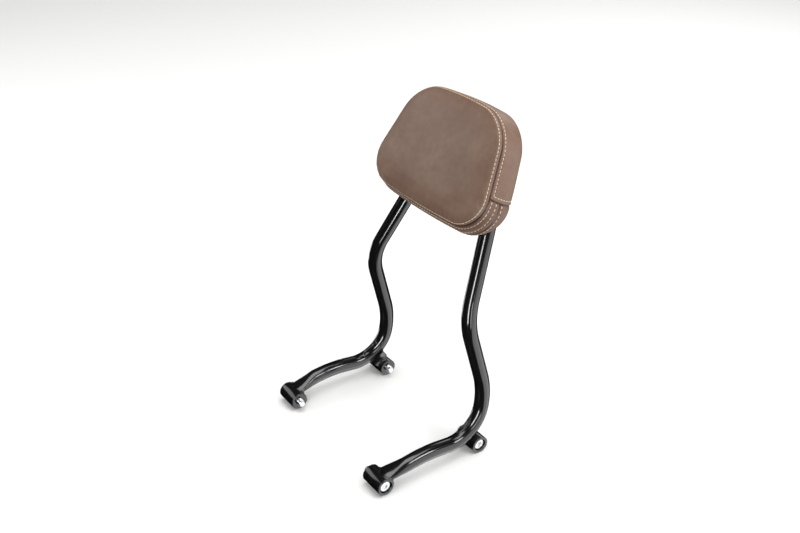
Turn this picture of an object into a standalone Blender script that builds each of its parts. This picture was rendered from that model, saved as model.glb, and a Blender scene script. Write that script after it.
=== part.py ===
"""Passenger backrest for a motorcycle: a bent steel hoop on four bolted bosses,
with a sewn leather pad screwed to two straps between the uprights.

X runs across the machine (+X is its left side), +Y to the rear, +Z up.  The rider's side of
the pad faces -Y.  The model stands on z = 0, with its middle over the origin.
"""

import math

import bmesh
import bpy
from mathutils import Matrix, Vector

# Driving dimensions, in metres and degrees.
CLEARANCE = 0.0003           # gap left between pieces that touch

# Mounting points on the two fender struts.
HALF_WIDTH = 0.141           # middle of the machine to the outer face of a sleeve
MOUNT_PITCH = 0.1662         # front screw to rear screw
REAR_MOUNT_DROP = 0.0015     # rear screw below the front one
SLEEVE_LENGTH = 0.040
SLEEVE_DIAMETER = 0.0266
SLEEVE_CHAMFER = 0.0012
SCREW_HOLE_DIAMETER = 0.0112
COUNTERBORE_DIAMETER = 0.0188
COUNTERBORE_DEPTH = 0.0114

# Mounting screws, M10 with a low head, and their washers.
SCREW_DIAMETER = 0.0099
SCREW_LENGTH = 0.040
SCREW_HEAD_DIAMETER = 0.0160
SCREW_HEAD_HEIGHT = 0.0070
SCREW_SOCKET_WIDTH = 0.0070
SCREW_SOCKET_DEPTH = 0.0040
SCREW_CHAMFER = 0.0008
WASHER_DIAMETER = 0.0178
WASHER_THICKNESS = 0.0016

# Hoop tube: corners of its centre line, each with its bend radius.
TUBE_DIAMETER = 0.0222
ARM_INSET = 0.0011           # outer side of the tube inside the sleeve's outer face
ARM_START_RISE = 0.0075      # flattened end above the front screw
ARCH_REACH = 0.0730          # first, shallow bend behind the front screw
ARCH_RISE = 0.0178
ARCH_RADIUS = 0.200
REAR_BEND_SETBACK = 0.0032   # rear bend's corner behind the rear screw
REAR_BEND_RISE = 0.0078      # and above it
REAR_BEND_INSET = 0.0017     # and inboard of the arm
REAR_BEND_RADIUS = 0.0564
LEG_SETBACK = 0.0159         # leg bend's corner behind the rear screw
LEG_RISE = 0.0869
LEG_INSET = 0.0049
LEG_RADIUS = 0.1207
KINK_LEAD = 0.0164           # kink's corner ahead of the rear screw
KINK_RISE = 0.2072
KINK_INSET = 0.0097
KINK_RADIUS = 0.080
UPRIGHT_RAKE = 26.2          # uprights lean back from the vertical
HOOP_TOP_UP = 0.2622         # kink to the top of the hoop, along the uprights
HOOP_RADIUS = 0.070
TUBE_SIDES = 20
BEND_STEP = 10.0             # degrees of bend between two sections
FLAT_LENGTH = 0.040          # stretch over which the tube's end is pressed flat
FLAT_HALF_WIDTH = 0.0150
FLAT_HALF_HEIGHT = 0.0062
FLAT_SECTIONS = 7

# Neck that joins each rear boss to the tube.
NECK_WIDTH = 0.0200          # across the machine
NECK_OUTER_INSET = 0.0130    # its outer side inside the sleeve's outer face
NECK_LENGTH_AT_TUBE = 0.0260
NECK_LENGTH_AT_SLEEVE = 0.0180
NECK_BITE = 0.0040           # how deep it runs into the sleeve's wall
NECK_BEVEL = 0.0012

# Straps between the uprights.
STRAP_THICKNESS = 0.0040
STRAP_HEIGHT = 0.0280
LOWER_STRAP_RISE = 0.0427    # its middle above the pad's lower edge
UPPER_STRAP_DROP = 0.0402    # its middle below the top of the hoop
STRAP_HOLE_DIAMETER = 0.0092
WASHER_MARGIN = 0.0050       # room between a pad washer and the tube

# Pad outline at the front seam, a trapezoid with round corners, crowned above and bowed below.
PAD_TOP_RISE = 0.0211        # upper edge of the seam above the top of the hoop
PAD_HEIGHT = 0.1620
PAD_BOTTOM_WIDTH = 0.2650
PAD_TOP_WIDTH = 0.1984
PAD_BOTTOM_CORNER = 0.0435
PAD_TOP_CORNER = 0.0590
PAD_TOP_CROWN = 0.0080        # lower at its ends than in the middle
PAD_BOTTOM_BOW = 0.0045       # and the bottom as much higher
CROSS_SEAM_RISE = 0.0048     # side seams above the end of the lower corners
PAD_DEPTH = 0.0420           # back of the hem to the front seam
PAD_BULGE = 0.0062           # how far the boxing swells beyond the seam
PAD_SAG = 0.0030             # and hangs below it
PAD_FRONT_CROWN = 0.0110
LEATHER = 0.0022             # leather with its scrim
SEAM_GROOVE = 0.0017
STITCH_DIP = 0.0007
FIRST_ROW = 0.0050           # stitch rows and the second seam, measured along the boxing
SECOND_ROW = 0.0130
SECOND_SEAM = 0.0200
THIRD_ROW = 0.0240
FRONT_ROW_INSET = 0.0024      # front row inside the seam, on the rolled edge
RIM_TUCK = 0.0014            # front panel's inner edge inside its outer one
HEM_WIDTH = 0.0140
FOLD = 0.0045                # size of the fold where the hem turns in

# Pad base and what holds it.
BASE_THICKNESS = 0.0040
BASE_INSET = 0.0036
BASE_BEVEL = 0.0020
BASE_BOSS_DIAMETER = 0.0220
BASE_RIB_WIDTH = 0.0030
BASE_RIB_HEIGHT = 0.0020
PAD_SCREW_DIAMETER = 0.0078
PAD_SCREW_LENGTH = 0.0160
PAD_SCREW_HEAD_DIAMETER = 0.0140
PAD_SCREW_HEAD_HEIGHT = 0.0044
PAD_SCREW_SOCKET_WIDTH = 0.0050
PAD_SCREW_SOCKET_DEPTH = 0.0026
PAD_WASHER_DIAMETER = 0.0170
PAD_WASHER_THICKNESS = 0.0016
TNUT_BARREL_DIAMETER = 0.0108
TNUT_FLANGE_DIAMETER = 0.0190
TNUT_FLANGE_THICKNESS = 0.0016

# Sizes that follow from them.
TUBE_RADIUS = TUBE_DIAMETER / 2
SLEEVE_RADIUS = SLEEVE_DIAMETER / 2
ARM_X = HALF_WIDTH - ARM_INSET - TUBE_RADIUS
REAR_SCREW = Vector((0.0, MOUNT_PITCH, -REAR_MOUNT_DROP))
RAKE = math.radians(UPRIGHT_RAKE)
UP = Vector((0.0, math.sin(RAKE), math.cos(RAKE)))
KINK = REAR_SCREW + Vector((ARM_X - KINK_INSET, -KINK_LEAD, KINK_RISE))
HOOP_CENTRE_UP = HOOP_TOP_UP - HOOP_RADIUS
LEAN = (math.atan2(KINK.x, HOOP_CENTRE_UP)                   # uprights lean to each other
        - math.asin(HOOP_RADIUS / math.hypot(KINK.x, HOOP_CENTRE_UP)))
APEX_UP = KINK.x / math.tan(LEAN)                            # where they would meet
PAD_BOTTOM_UP = HOOP_TOP_UP + PAD_TOP_RISE - PAD_HEIGHT
LOWER_STRAP_UP = PAD_BOTTOM_UP + LOWER_STRAP_RISE
UPPER_STRAP_UP = HOOP_TOP_UP - UPPER_STRAP_DROP
BOXING_RADIUS = (PAD_DEPTH ** 2 / 4 + PAD_BULGE ** 2) / (2 * PAD_BULGE)
BOXING_HALF_ANGLE = math.asin(PAD_DEPTH / 2 / BOXING_RADIUS)
FRONT_Y = -TUBE_RADIUS - CLEARANCE                           # back of the hem, in the pad's frame


def upright_x(z):
    """Middle of the tube at a height up the plane, on the straight or on the hoop's arc."""
    if z < HOOP_CENTRE_UP + HOOP_RADIUS * math.sin(LEAN):
        return KINK.x - z * math.tan(LEAN)
    return math.sqrt(HOOP_RADIUS ** 2 - (z - HOOP_CENTRE_UP) ** 2)


def hole_x(z):
    """Middle of a pad screw, set so that its washer clears the tube."""
    washer = PAD_WASHER_DIAMETER / 2
    return upright_x(z + washer) - TUBE_RADIUS - washer - WASHER_MARGIN


HOLES = [(side * hole_x(up), up) for up in (LOWER_STRAP_UP, UPPER_STRAP_UP) for side in (1, -1)]
HOLE_NAMES = ("lower_left", "lower_right", "upper_left", "upper_right")


for old in list(bpy.data.objects):
    bpy.data.objects.remove(old, do_unlink=True)

parts = bpy.data.collections.new("passenger_backrest")
cutters = bpy.data.collections.new("cutters")
bpy.context.scene.collection.children.link(parts)
bpy.context.scene.collection.children.link(cutters)


def material(name, colour, roughness, metallic=0.0):
    """A Principled material; colour is linear red, green, blue."""
    made = bpy.data.materials.new(name)
    made.use_nodes = True
    shader = made.node_tree.nodes["Principled BSDF"]
    shader.inputs["Base Color"].default_value = (*colour, 1.0)
    shader.inputs["Roughness"].default_value = roughness
    shader.inputs["Metallic"].default_value = metallic
    made.diffuse_color = (*colour, 1.0)
    return made


GLOSS_BLACK = material("gloss_black_powder_coat", (0.006, 0.006, 0.007), 0.15)
ZINC = material("zinc_plate", (0.72, 0.74, 0.76), 0.25, 1.0)
BROWN_LEATHER = material("brown_leather", (0.18, 0.10, 0.07), 0.45)
BLACK_PLASTIC = material("black_plastic", (0.012, 0.012, 0.012), 0.5)
FOAM = material("moulded_foam", (0.60, 0.55, 0.38), 0.9)


def empty(name, location=(0, 0, 0), rotation=(0, 0, 0), parent=None):
    made = bpy.data.objects.new(name, None)
    made.location, made.rotation_euler = location, rotation
    made.parent = parent
    parts.objects.link(made)
    return made


def place(name, mesh, finish, parent, location=(0, 0, 0), rotation=(0, 0, 0)):
    """A part of the model, with its finish, under one of the two empties."""
    made = bpy.data.objects.new(name, mesh)
    made.location, made.rotation_euler = location, rotation
    made.parent = parent
    parts.objects.link(made)
    if not mesh.materials:
        mesh.materials.append(finish)
    mesh.shade_smooth()
    mesh.set_sharp_from_angle(angle=math.radians(35))
    return made


def cutter(name, mesh, parent, location=(0, 0, 0), rotation=(0, 0, 0)):
    """A tool solid for a Boolean, kept out of the model."""
    made = bpy.data.objects.new(name, mesh)
    made.location, made.rotation_euler = location, rotation
    made.parent = parent
    made.hide_render = True
    made.display_type = 'WIRE'
    cutters.objects.link(made)
    return made


def boolean(target, tool, operation='DIFFERENCE'):
    step = target.modifiers.new(operation.lower() + "_" + tool.name, 'BOOLEAN')
    step.operation, step.object, step.solver = operation, tool, 'EXACT'


def baked(source, name):
    """The mesh of an object with its modifiers applied; the object and its tools go."""
    bpy.context.view_layer.update()
    graph = bpy.context.evaluated_depsgraph_get()
    mesh = bpy.data.meshes.new_from_object(source.evaluated_get(graph))
    mesh.name = name
    tools = [step.object for step in source.modifiers if step.type == 'BOOLEAN']
    for gone in [source, *tools]:
        bpy.data.objects.remove(gone, do_unlink=True)
    return mesh


def facing_out(mesh):
    """The same closed mesh with its normals pointing out."""
    work = bmesh.new()
    work.from_mesh(mesh)
    bmesh.ops.recalc_face_normals(work, faces=work.faces)
    work.to_mesh(mesh)
    work.free()
    return mesh


def lofted(name, rings, cap_start=True, cap_end=True, closed=True):
    """Skin a list of rings of equal count; closed rings join their last point to the first."""
    mesh = bpy.data.meshes.new(name)
    work = bmesh.new()
    rows = [[work.verts.new(point) for point in ring] for ring in rings]
    count = len(rows[0])
    last = count if closed else count - 1
    for low, high in zip(rows, rows[1:]):
        for i in range(last):
            j = (i + 1) % count
            work.faces.new((low[i], low[j], high[j], high[i]))
    if cap_start:
        work.faces.new(rows[0][::-1])
    if cap_end:
        work.faces.new(rows[-1])
    bmesh.ops.recalc_face_normals(work, faces=work.faces)
    work.to_mesh(mesh)
    work.free()
    return mesh


def turned(name, profile, segments, loop):
    """Turn (radius, height) points about Z; they run down the outer side, top to bottom.

    A loop is a ring's whole section; otherwise the profile starts and ends on the axis."""
    mesh = bpy.data.meshes.new(name)
    work = bmesh.new()
    points = [work.verts.new((radius, 0.0, height)) for radius, height in profile]
    for a, b in zip(points, points[1:]):
        work.edges.new((a, b))
    if loop:
        work.edges.new((points[-1], points[0]))
    work.to_mesh(mesh)
    work.free()
    made = cutter(name, mesh, None)
    screw = made.modifiers.new("turn", 'SCREW')
    screw.axis = 'Z'
    screw.steps = screw.render_steps = segments
    screw.use_merge_vertices = True
    screw.merge_threshold = 0.00001
    return facing_out(baked(made, name))


def rod(name, diameter, length, sides):
    """A plain cylinder on Z, centred; sides is 6 for a hexagon key."""
    mesh = bpy.data.meshes.new(name)
    work = bmesh.new()
    bmesh.ops.create_cone(work, cap_ends=True, segments=sides, radius1=diameter / 2,
                          radius2=diameter / 2, depth=length)
    work.to_mesh(mesh)
    work.free()
    return mesh


def block(name, size, centre=(0, 0, 0)):
    mesh = bpy.data.meshes.new(name)
    work = bmesh.new()
    bmesh.ops.create_cube(work, size=1.0, matrix=Matrix.Translation(centre) @ Matrix.Diagonal((*size, 1)))
    work.to_mesh(mesh)
    work.free()
    return mesh


# The frame is built about the front screws' axis and then stood on the floor.
hoop_rear = KINK.y + HOOP_TOP_UP * math.sin(RAKE) + TUBE_RADIUS
stand = empty("backrest", (0, (SLEEVE_RADIUS - hoop_rear) / 2, SLEEVE_RADIUS + REAR_MOUNT_DROP))
pad_plane = empty("pad_plane", (0, KINK.y, KINK.z), (-RAKE, 0, 0), stand)


# Hoop tube.
def rounded_path(corners, radii):
    """Centre line through the corners, each rounded to its radius."""
    path = [corners[0]]
    for before, corner, after, radius in zip(corners, corners[1:], corners[2:], radii):
        back, ahead = (before - corner).normalized(), (after - corner).normalized()
        turn = math.pi - back.angle(ahead)
        centre = corner + (back + ahead).normalized() * radius / math.cos(turn / 2)
        start = (corner + back * radius * math.tan(turn / 2) - centre).normalized()
        end = (corner + ahead * radius * math.tan(turn / 2) - centre).normalized()
        steps = 2 * max(1, round(math.degrees(turn) / BEND_STEP / 2))
        for i in range(steps + 1):
            path.append(centre + radius * start.slerp(end, i / steps))
    path.append(corners[-1])
    return path


def half_hoop_path():
    """Left half: flattened end, arm, leg, upright and the hoop's arc up to the middle."""
    start = Vector((ARM_X, SLEEVE_RADIUS / 2, ARM_START_RISE))
    arch = Vector((ARM_X, ARCH_REACH, ARCH_RISE))
    rear = REAR_SCREW + Vector((ARM_X - REAR_BEND_INSET, REAR_BEND_SETBACK, REAR_BEND_RISE))
    leg = REAR_SCREW + Vector((ARM_X - LEG_INSET, LEG_SETBACK, LEG_RISE))
    apex = Vector((0, KINK.y, KINK.z)) + UP * APEX_UP
    far_kink = Vector((-KINK.x, KINK.y, KINK.z))
    path = rounded_path([start, arch, rear, leg, KINK, apex, far_kink],
                        [ARCH_RADIUS, REAR_BEND_RADIUS, LEG_RADIUS, KINK_RADIUS, HOOP_RADIUS])
    half = [point for point in path if point.x > -1e-6]
    half[-1].x = 0.0
    flat_end = start + (arch - start).normalized() * FLAT_LENGTH
    flat = [start.lerp(flat_end, i / (FLAT_SECTIONS - 1)) for i in range(FLAT_SECTIONS)]
    return flat + half[1:]


def hoop_mesh(name, grow):
    """Sections along the path, an oval at the pressed end that eases into the round tube."""
    path = half_hoop_path()
    side = Vector((1, 0, 0))
    rings = []
    for i, centre in enumerate(path):
        along = (path[min(i + 1, len(path) - 1)] - path[max(i - 1, 0)]).normalized()
        if i == len(path) - 1:
            along = Vector((-1, 0, 0))
        side = (side - along * side.dot(along)).normalized()
        rise = along.cross(side)
        ease = min(1.0, i / (FLAT_SECTIONS - 1))
        ease = ease * ease * (3 - 2 * ease)
        wide = FLAT_HALF_WIDTH + (TUBE_RADIUS - FLAT_HALF_WIDTH) * ease + grow
        high = FLAT_HALF_HEIGHT + (TUBE_RADIUS - FLAT_HALF_HEIGHT) * ease + grow
        middle = centre + side * (TUBE_RADIUS - wide + grow)
        ring = []
        for k in range(TUBE_SIDES):
            angle = 2 * math.pi * k / TUBE_SIDES
            ring.append(middle + side * wide * math.cos(angle) + rise * high * math.sin(angle))
        if i == len(path) - 1:
            for point in ring:
                point.x = 0.0
        rings.append(ring)
    return lofted(name, rings, cap_end=False)


def mirrored_across(made):
    mirror = made.modifiers.new("other_side", 'MIRROR')
    mirror.use_axis = (True, False, False)
    mirror.use_clip = True
    mirror.merge_threshold = 0.00001


hoop = place("hoop_tube", hoop_mesh("hoop_tube", 0.0), GLOSS_BLACK, stand)
mirrored_across(hoop)
cope = cutter("cope_front_sleeves", rod("cope_front_sleeves", SLEEVE_DIAMETER + 2 * CLEARANCE,
                                        4 * HALF_WIDTH, 40), stand, rotation=(0, math.pi / 2, 0))
boolean(hoop, cope)
grown_hoop = cutter("hoop_with_clearance", hoop_mesh("hoop_with_clearance", CLEARANCE), stand)
mirrored_across(grown_hoop)


# Mounting sleeves, bosses, screws and washers.
def sleeve_profile():
    """Section of a sleeve: outer face up, counterbored from there."""
    outer, hole, bore = SLEEVE_RADIUS, SCREW_HOLE_DIAMETER / 2, COUNTERBORE_DIAMETER / 2
    floor = SLEEVE_LENGTH - COUNTERBORE_DEPTH
    return [(bore, SLEEVE_LENGTH), (outer - SLEEVE_CHAMFER, SLEEVE_LENGTH),
            (outer, SLEEVE_LENGTH - SLEEVE_CHAMFER), (outer, SLEEVE_CHAMFER),
            (outer - SLEEVE_CHAMFER, 0.0), (hole, 0.0), (hole, floor), (bore, floor)]


def screw_mesh(name, diameter, length, head, height, socket_width, socket_depth, segments):
    """Socket screw on Z, with the underside of its head at z = 0 and the shank below."""
    head_radius, shank = head / 2, diameter / 2
    chamfer = SCREW_CHAMFER
    profile = [(0.0, height), (head_radius - chamfer, height), (head_radius, height - chamfer),
               (head_radius, 0.0), (shank, 0.0), (shank, chamfer - length),
               (shank - chamfer, -length), (0.0, -length)]
    made = cutter(name, turned(name, profile, segments, loop=False), None)
    key_width = socket_width / math.cos(math.pi / 6)
    key = cutter(name + "_key", rod(name + "_key", key_width, 2 * socket_depth, 6), None,
                 (0, 0, height))
    boolean(made, key)
    return baked(made, name)


def ring_mesh(name, outer, inner, thickness, segments):
    """Flat ring on Z from z = 0 up."""
    profile = [(inner / 2, thickness), (outer / 2, thickness), (outer / 2, 0.0), (inner / 2, 0.0)]
    return turned(name, profile, segments, loop=True)


SIDES = {"left": 1, "right": -1}
mount_washer = ring_mesh("mount_washer", WASHER_DIAMETER, SCREW_HOLE_DIAMETER,
                         WASHER_THICKNESS, 20)
mount_screw = screw_mesh("mount_screw", SCREW_DIAMETER, SCREW_LENGTH, SCREW_HEAD_DIAMETER,
                         SCREW_HEAD_HEIGHT, SCREW_SOCKET_WIDTH, SCREW_SOCKET_DEPTH, 20)
front_sleeve = turned("front_sleeve", sleeve_profile(), 28, loop=True)
counterbore_floor = HALF_WIDTH - COUNTERBORE_DEPTH
washer_face = counterbore_floor + CLEARANCE
head_face = washer_face + WASHER_THICKNESS + CLEARANCE

for side, sign in SIDES.items():
    outward = (0, sign * math.pi / 2, 0)
    place(side + "_front_sleeve", front_sleeve, GLOSS_BLACK, stand,
          (sign * (HALF_WIDTH - SLEEVE_LENGTH), 0, 0), outward)
    for end, axis in (("front", Vector((0, 0, 0))), ("rear", REAR_SCREW)):
        place(side + "_" + end + "_washer", mount_washer, ZINC, stand,
              axis + Vector((sign * washer_face, 0, 0)), outward)
        place(side + "_" + end + "_screw", mount_screw, ZINC, stand,
              axis + Vector((sign * head_face, 0, 0)), outward)


def neck_mesh():
    """Block from inside the rear sleeve's wall up into the tube's bend, wider at the tube."""
    path = half_hoop_path()
    nearest = min(path, key=lambda point: (point.yz - REAR_SCREW.yz).length)
    up = Vector((0, nearest.y - REAR_SCREW.y, nearest.z - REAR_SCREW.z))
    reach = up.length
    up.normalize()
    along = Vector((0, up.z, -up.y))
    low = REAR_SCREW + up * (SLEEVE_RADIUS - NECK_BITE)
    high = REAR_SCREW + up * reach
    outer = HALF_WIDTH - NECK_OUTER_INSET
    rings = []
    for centre, length in ((low, NECK_LENGTH_AT_SLEEVE), (high, NECK_LENGTH_AT_TUBE)):
        rings.append([centre + along * length / 2 * a + Vector((x, 0, 0))
                      for a, x in ((1, outer), (-1, outer), (-1, outer - NECK_WIDTH),
                                   (1, outer - NECK_WIDTH))])
    return lofted("neck", rings)


def rear_boss_mesh():
    """Left rear boss in the frame's own place: a sleeve with its neck, fitted to the tube."""
    sleeve = place("rear_boss_blank", turned("rear_sleeve", sleeve_profile(), 28, loop=True),
                   GLOSS_BLACK, stand, REAR_SCREW + Vector((HALF_WIDTH - SLEEVE_LENGTH, 0, 0)),
                   (0, math.pi / 2, 0))
    neck = cutter("neck", neck_mesh(), stand)
    soften = neck.modifiers.new("soft_edges", 'BEVEL')
    soften.width, soften.segments = NECK_BEVEL, 1
    neck_body = cutter("neck_body", baked(neck, "neck_body"), stand)
    tube = cutter("tube_clear", hoop_mesh("tube_clear", CLEARANCE), stand)
    mirrored_across(tube)
    boolean(sleeve, neck_body, 'UNION')
    boolean(sleeve, tube)
    back = sleeve.matrix_basis.copy()
    mesh = baked(sleeve, "rear_boss")
    mesh.transform(back)
    return mesh


left_boss = rear_boss_mesh()
right_boss = left_boss.copy()
right_boss.transform(Matrix.Diagonal((-1, 1, 1, 1)))
right_boss.flip_normals()
place("left_rear_boss", left_boss, GLOSS_BLACK, stand)
place("right_rear_boss", right_boss, GLOSS_BLACK, stand)


# Straps, in the plane of the uprights: x across, y to the rear, z up the plane.
strap_back = -TUBE_RADIUS + STRAP_THICKNESS
to_rear = (-math.pi / 2, 0, 0)

for name, up in (("lower_strap", LOWER_STRAP_UP), ("upper_strap", UPPER_STRAP_UP)):
    levels = []
    for z in (up + STRAP_HEIGHT * share for share in (-0.5, -0.25, 0.0, 0.25, 0.5)):
        x = upright_x(z)
        levels.append([Vector((a, y, z)) for a, y in
                       ((-x, -TUBE_RADIUS), (x, -TUBE_RADIUS), (x, strap_back), (-x, strap_back))])
    strap = place(name, lofted(name, levels), GLOSS_BLACK, pad_plane)
    boolean(strap, grown_hoop)
    for x, hole_up in HOLES:
        if hole_up == up:
            hole = cutter("hole_in_" + name, rod("strap_hole", STRAP_HOLE_DIAMETER,
                                                 4 * STRAP_THICKNESS, 20),
                          pad_plane, (x, strap_back - STRAP_THICKNESS / 2, up), to_rear)
            boolean(strap, hole)


# Pad: every panel is skinned from points around the seam outline.
def seam_outline():
    """Stretches of the front seam, anticlockwise from the bottom's left end.

    Each is a list of (x, z, nx, nz): a point in the pad's frame and its outward direction."""
    low, high = PAD_BOTTOM_UP, PAD_BOTTOM_UP + PAD_HEIGHT
    half_low, half_high = PAD_BOTTOM_WIDTH / 2, PAD_TOP_WIDTH / 2
    slope = math.atan2(half_low - half_high, PAD_HEIGHT)
    low_reach = PAD_BOTTOM_CORNER * math.tan(math.radians(45) + slope / 2)
    high_reach = PAD_TOP_CORNER * math.tan(math.radians(45) - slope / 2)
    low_centre = (half_low - low_reach, low + PAD_BOTTOM_CORNER)
    high_centre = (half_high - high_reach, high - PAD_TOP_CORNER)

    def arc(centre, radius, start, end, count):
        angles = [start + (end - start) * i / count for i in range(count + 1)]
        return [(centre[0] + radius * math.cos(a), centre[1] + radius * math.sin(a),
                 math.cos(a), math.sin(a)) for a in angles]

    def straight(first, last, count):
        return [tuple(p + (q - p) * i / count for p, q in zip(first, last))
                for i in range(count + 1)]

    right_low = arc(low_centre, PAD_BOTTOM_CORNER, -math.pi / 2, slope, 7)
    right_high = arc(high_centre, PAD_TOP_CORNER, slope, math.pi / 2, 7)
    share = CROSS_SEAM_RISE / (right_high[0][1] - right_low[-1][1])
    cross = tuple(p + (q - p) * share for p, q in zip(right_low[-1], right_high[0]))
    side = straight(cross, right_high[0], 2)
    right_upper = side + right_high[1:]
    right_lower = right_low + [cross]

    def mirrored(stations):
        return [(-x, z, -nx, nz) for x, z, nx, nz in reversed(stations)]

    left_upper, left_lower = mirrored(right_upper), mirrored(right_lower)
    upper = right_upper + straight(right_upper[-1], left_upper[0], 4)[1:] + left_upper[1:]
    lower = left_lower + straight(left_lower[-1], right_lower[0], 5)[1:] + right_lower[1:]
    return upper, lower


SEAM_Y = FRONT_Y - PAD_DEPTH


def on_pad(station, offset, y):
    """Point of the pad beyond the seam by offset, at depth y, with the crown, bow and sag."""
    x, z = station[0] + station[2] * offset, station[1] + station[3] * offset
    share = max(0.0, (z - PAD_BOTTOM_UP) / PAD_HEIGHT)
    crown = PAD_TOP_CROWN * share ** 3 * (x / (PAD_TOP_WIDTH / 2)) ** 2
    bow = PAD_BOTTOM_BOW * max(0.0, 1 - share) ** 3 * (x / (PAD_BOTTOM_WIDTH / 2)) ** 2
    sag = PAD_SAG * max(0.0, offset) / PAD_BULGE
    return Vector((x, y, z - crown + bow - sag))


def boxing_section(along, inset=0.0):
    """(offset, y) on the swollen boxing, at a distance along it from the front seam."""
    angle = along / BOXING_RADIUS - BOXING_HALF_ANGLE
    radius = BOXING_RADIUS - inset
    return (radius * math.cos(angle) - BOXING_RADIUS + PAD_BULGE,
            SEAM_Y + PAD_DEPTH / 2 + radius * math.sin(angle))


def front_y(share):
    """Depth of the front, flat in its middle and rolled at its edge, at a share of the way out."""
    return SEAM_Y - PAD_FRONT_CROWN * math.sqrt(1 - share ** 5.5)


def inner_line(line, distance):
    """The section line moved inwards by a distance, mitred at its corners."""
    moved = []
    for i, (x, y) in enumerate(line):
        normals = []
        for a, b in ((i - 1, i), (i, i + 1)):
            if a >= 0 and b < len(line):
                step = Vector(line[b]) - Vector(line[a])
                normals.append(Vector((-step.y, step.x)).normalized())
        mean = (normals[0] + normals[-1]).normalized()
        reach = distance / mean.dot(normals[0])
        moved.append((x + mean.x * reach, y + mean.y * reach))
    return moved


upper_stations, lower_stations = seam_outline()
all_stations = upper_stations[:-1] + lower_stations[:-1]
PAD_MIDDLE = Vector((0, 0, PAD_BOTTOM_UP + PAD_HEIGHT / 2))


def front_ring(share, y, inset=0.0):
    """Ring of the front at depth y, the seam shrunk towards the pad's middle."""
    ring = []
    for station in all_stations:
        edge = on_pad(station, -inset, 0.0)
        point = PAD_MIDDLE + (edge - PAD_MIDDLE) * share
        ring.append(Vector((point.x, y, point.z)))
    return ring


def front_line(rows, sink=0.0):
    """Rings (share, y) of the front at rows of (share, dip), sunk square to its surface."""
    mean = (PAD_BOTTOM_WIDTH + PAD_TOP_WIDTH + 2 * PAD_HEIGHT) / 8
    line = [(share * mean, front_y(share) + dip) for share, dip in rows]
    return [(across / mean, y) for across, y in (inner_line(line, sink) if sink else line)]


# Front panel, with the shallow valley that its topstitching pulls.
ROW_SHARE = 1 - FRONT_ROW_INSET / (PAD_BOTTOM_WIDTH / 2)
front_rows = [(0.20, 0), (0.50, 0), (0.74, 0), (0.88, 0), (2 * ROW_SHARE - 1, 0),
              (ROW_SHARE, STITCH_DIP), ((1 + ROW_SHARE) / 2, 0), (1.0, 0)]
front_rings = [front_ring(share, y) for share, y in front_line(front_rows)]
front_rings.append(front_ring(1.0, SEAM_Y + LEATHER, RIM_TUCK))
front_rings += [front_ring(share, y) for share, y in front_line(front_rows[:-2], LEATHER)[::-1]]
place("front_panel", lofted("front_panel", front_rings), BROWN_LEATHER, pad_plane)


# Boxing, in bands of leather; two of them end in a hem folded over the back of the base.
boxing_length = 2 * BOXING_HALF_ANGLE * BOXING_RADIUS
fold_start = boxing_length - 1.5 * FOLD


def boxing_band(name, stations, rows, hem):
    """rows are (distance along the boxing, dip); hem adds the fold and the flat edge."""
    line = [boxing_section(along, dip) for along, dip in rows]
    if hem:
        line += [(0.4 * line[-1][0] - 0.3 * FOLD, FRONT_Y - 0.25 * FOLD), (-FOLD, FRONT_Y),
                 (-HEM_WIDTH, FRONT_Y)]
    loop = line + inner_line(line, LEATHER)[::-1]
    rings = [[on_pad(station, offset, y) for offset, y in loop] for station in stations]
    return place(name, lofted(name, rings), BROWN_LEATHER, pad_plane)


def drawn_back(stations, gap):
    """Stations of a band with both ends drawn back by a gap."""
    ends = []
    for end, inner in ((stations[0], stations[1]), (stations[-1], stations[-2])):
        span = math.hypot(inner[0] - end[0], inner[1] - end[1])
        ends.append(tuple(p + (q - p) * gap / span for p, q in zip(end, inner)))
    return [ends[0], *stations[1:-1], ends[1]]


between = (FIRST_ROW + SECOND_ROW) / 2
boxing_band("upper_boxing", drawn_back(upper_stations, 2 * CLEARANCE),
            [(SEAM_GROOVE, 0), (FIRST_ROW, STITCH_DIP), (between, 0)]
            + [(fold_start * share, 0) for share in (0.42, 0.62, 0.82, 1.0)], hem=True)
boxing_band("lower_boxing_front", lower_stations,
            [(SEAM_GROOVE, 0), (FIRST_ROW, STITCH_DIP), (between, 0), (SECOND_ROW, STITCH_DIP),
             ((SECOND_ROW + SECOND_SEAM) / 2, 0), (SECOND_SEAM - CLEARANCE, STITCH_DIP)], hem=False)
boxing_band("lower_boxing_rear", lower_stations,
            [(SECOND_SEAM + CLEARANCE, STITCH_DIP), (THIRD_ROW, STITCH_DIP),
             ((THIRD_ROW + fold_start) / 2, 0), (fold_start, 0)], hem=True)


# Pad base: a plate with a boss at each screw and ribs between the bosses.
base_back = FRONT_Y - LEATHER - CLEARANCE
base_front = base_back - BASE_THICKNESS
base_rings = [[on_pad(station, -BASE_INSET, y) for station in all_stations]
              for y in (base_back, base_front)]
base = place("pad_base", lofted("pad_base", base_rings), BLACK_PLASTIC, pad_plane)
ease = base.modifiers.new("edge", 'BEVEL')
ease.width, ease.segments, ease.limit_method = BASE_BEVEL, 2, 'ANGLE'
ease.angle_limit = math.radians(60)
boss_length = FRONT_Y - base_back + BASE_THICKNESS / 2
boss_middle = FRONT_Y - boss_length / 2
for x, up in HOLES:
    boss = cutter("base_boss", rod("base_boss", BASE_BOSS_DIAMETER, boss_length, 20),
                  pad_plane, (x, boss_middle, up), to_rear)
    boolean(base, boss, 'UNION')
rib_y = base_back + BASE_RIB_HEIGHT - (BASE_RIB_HEIGHT + BASE_THICKNESS / 2) / 2
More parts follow.
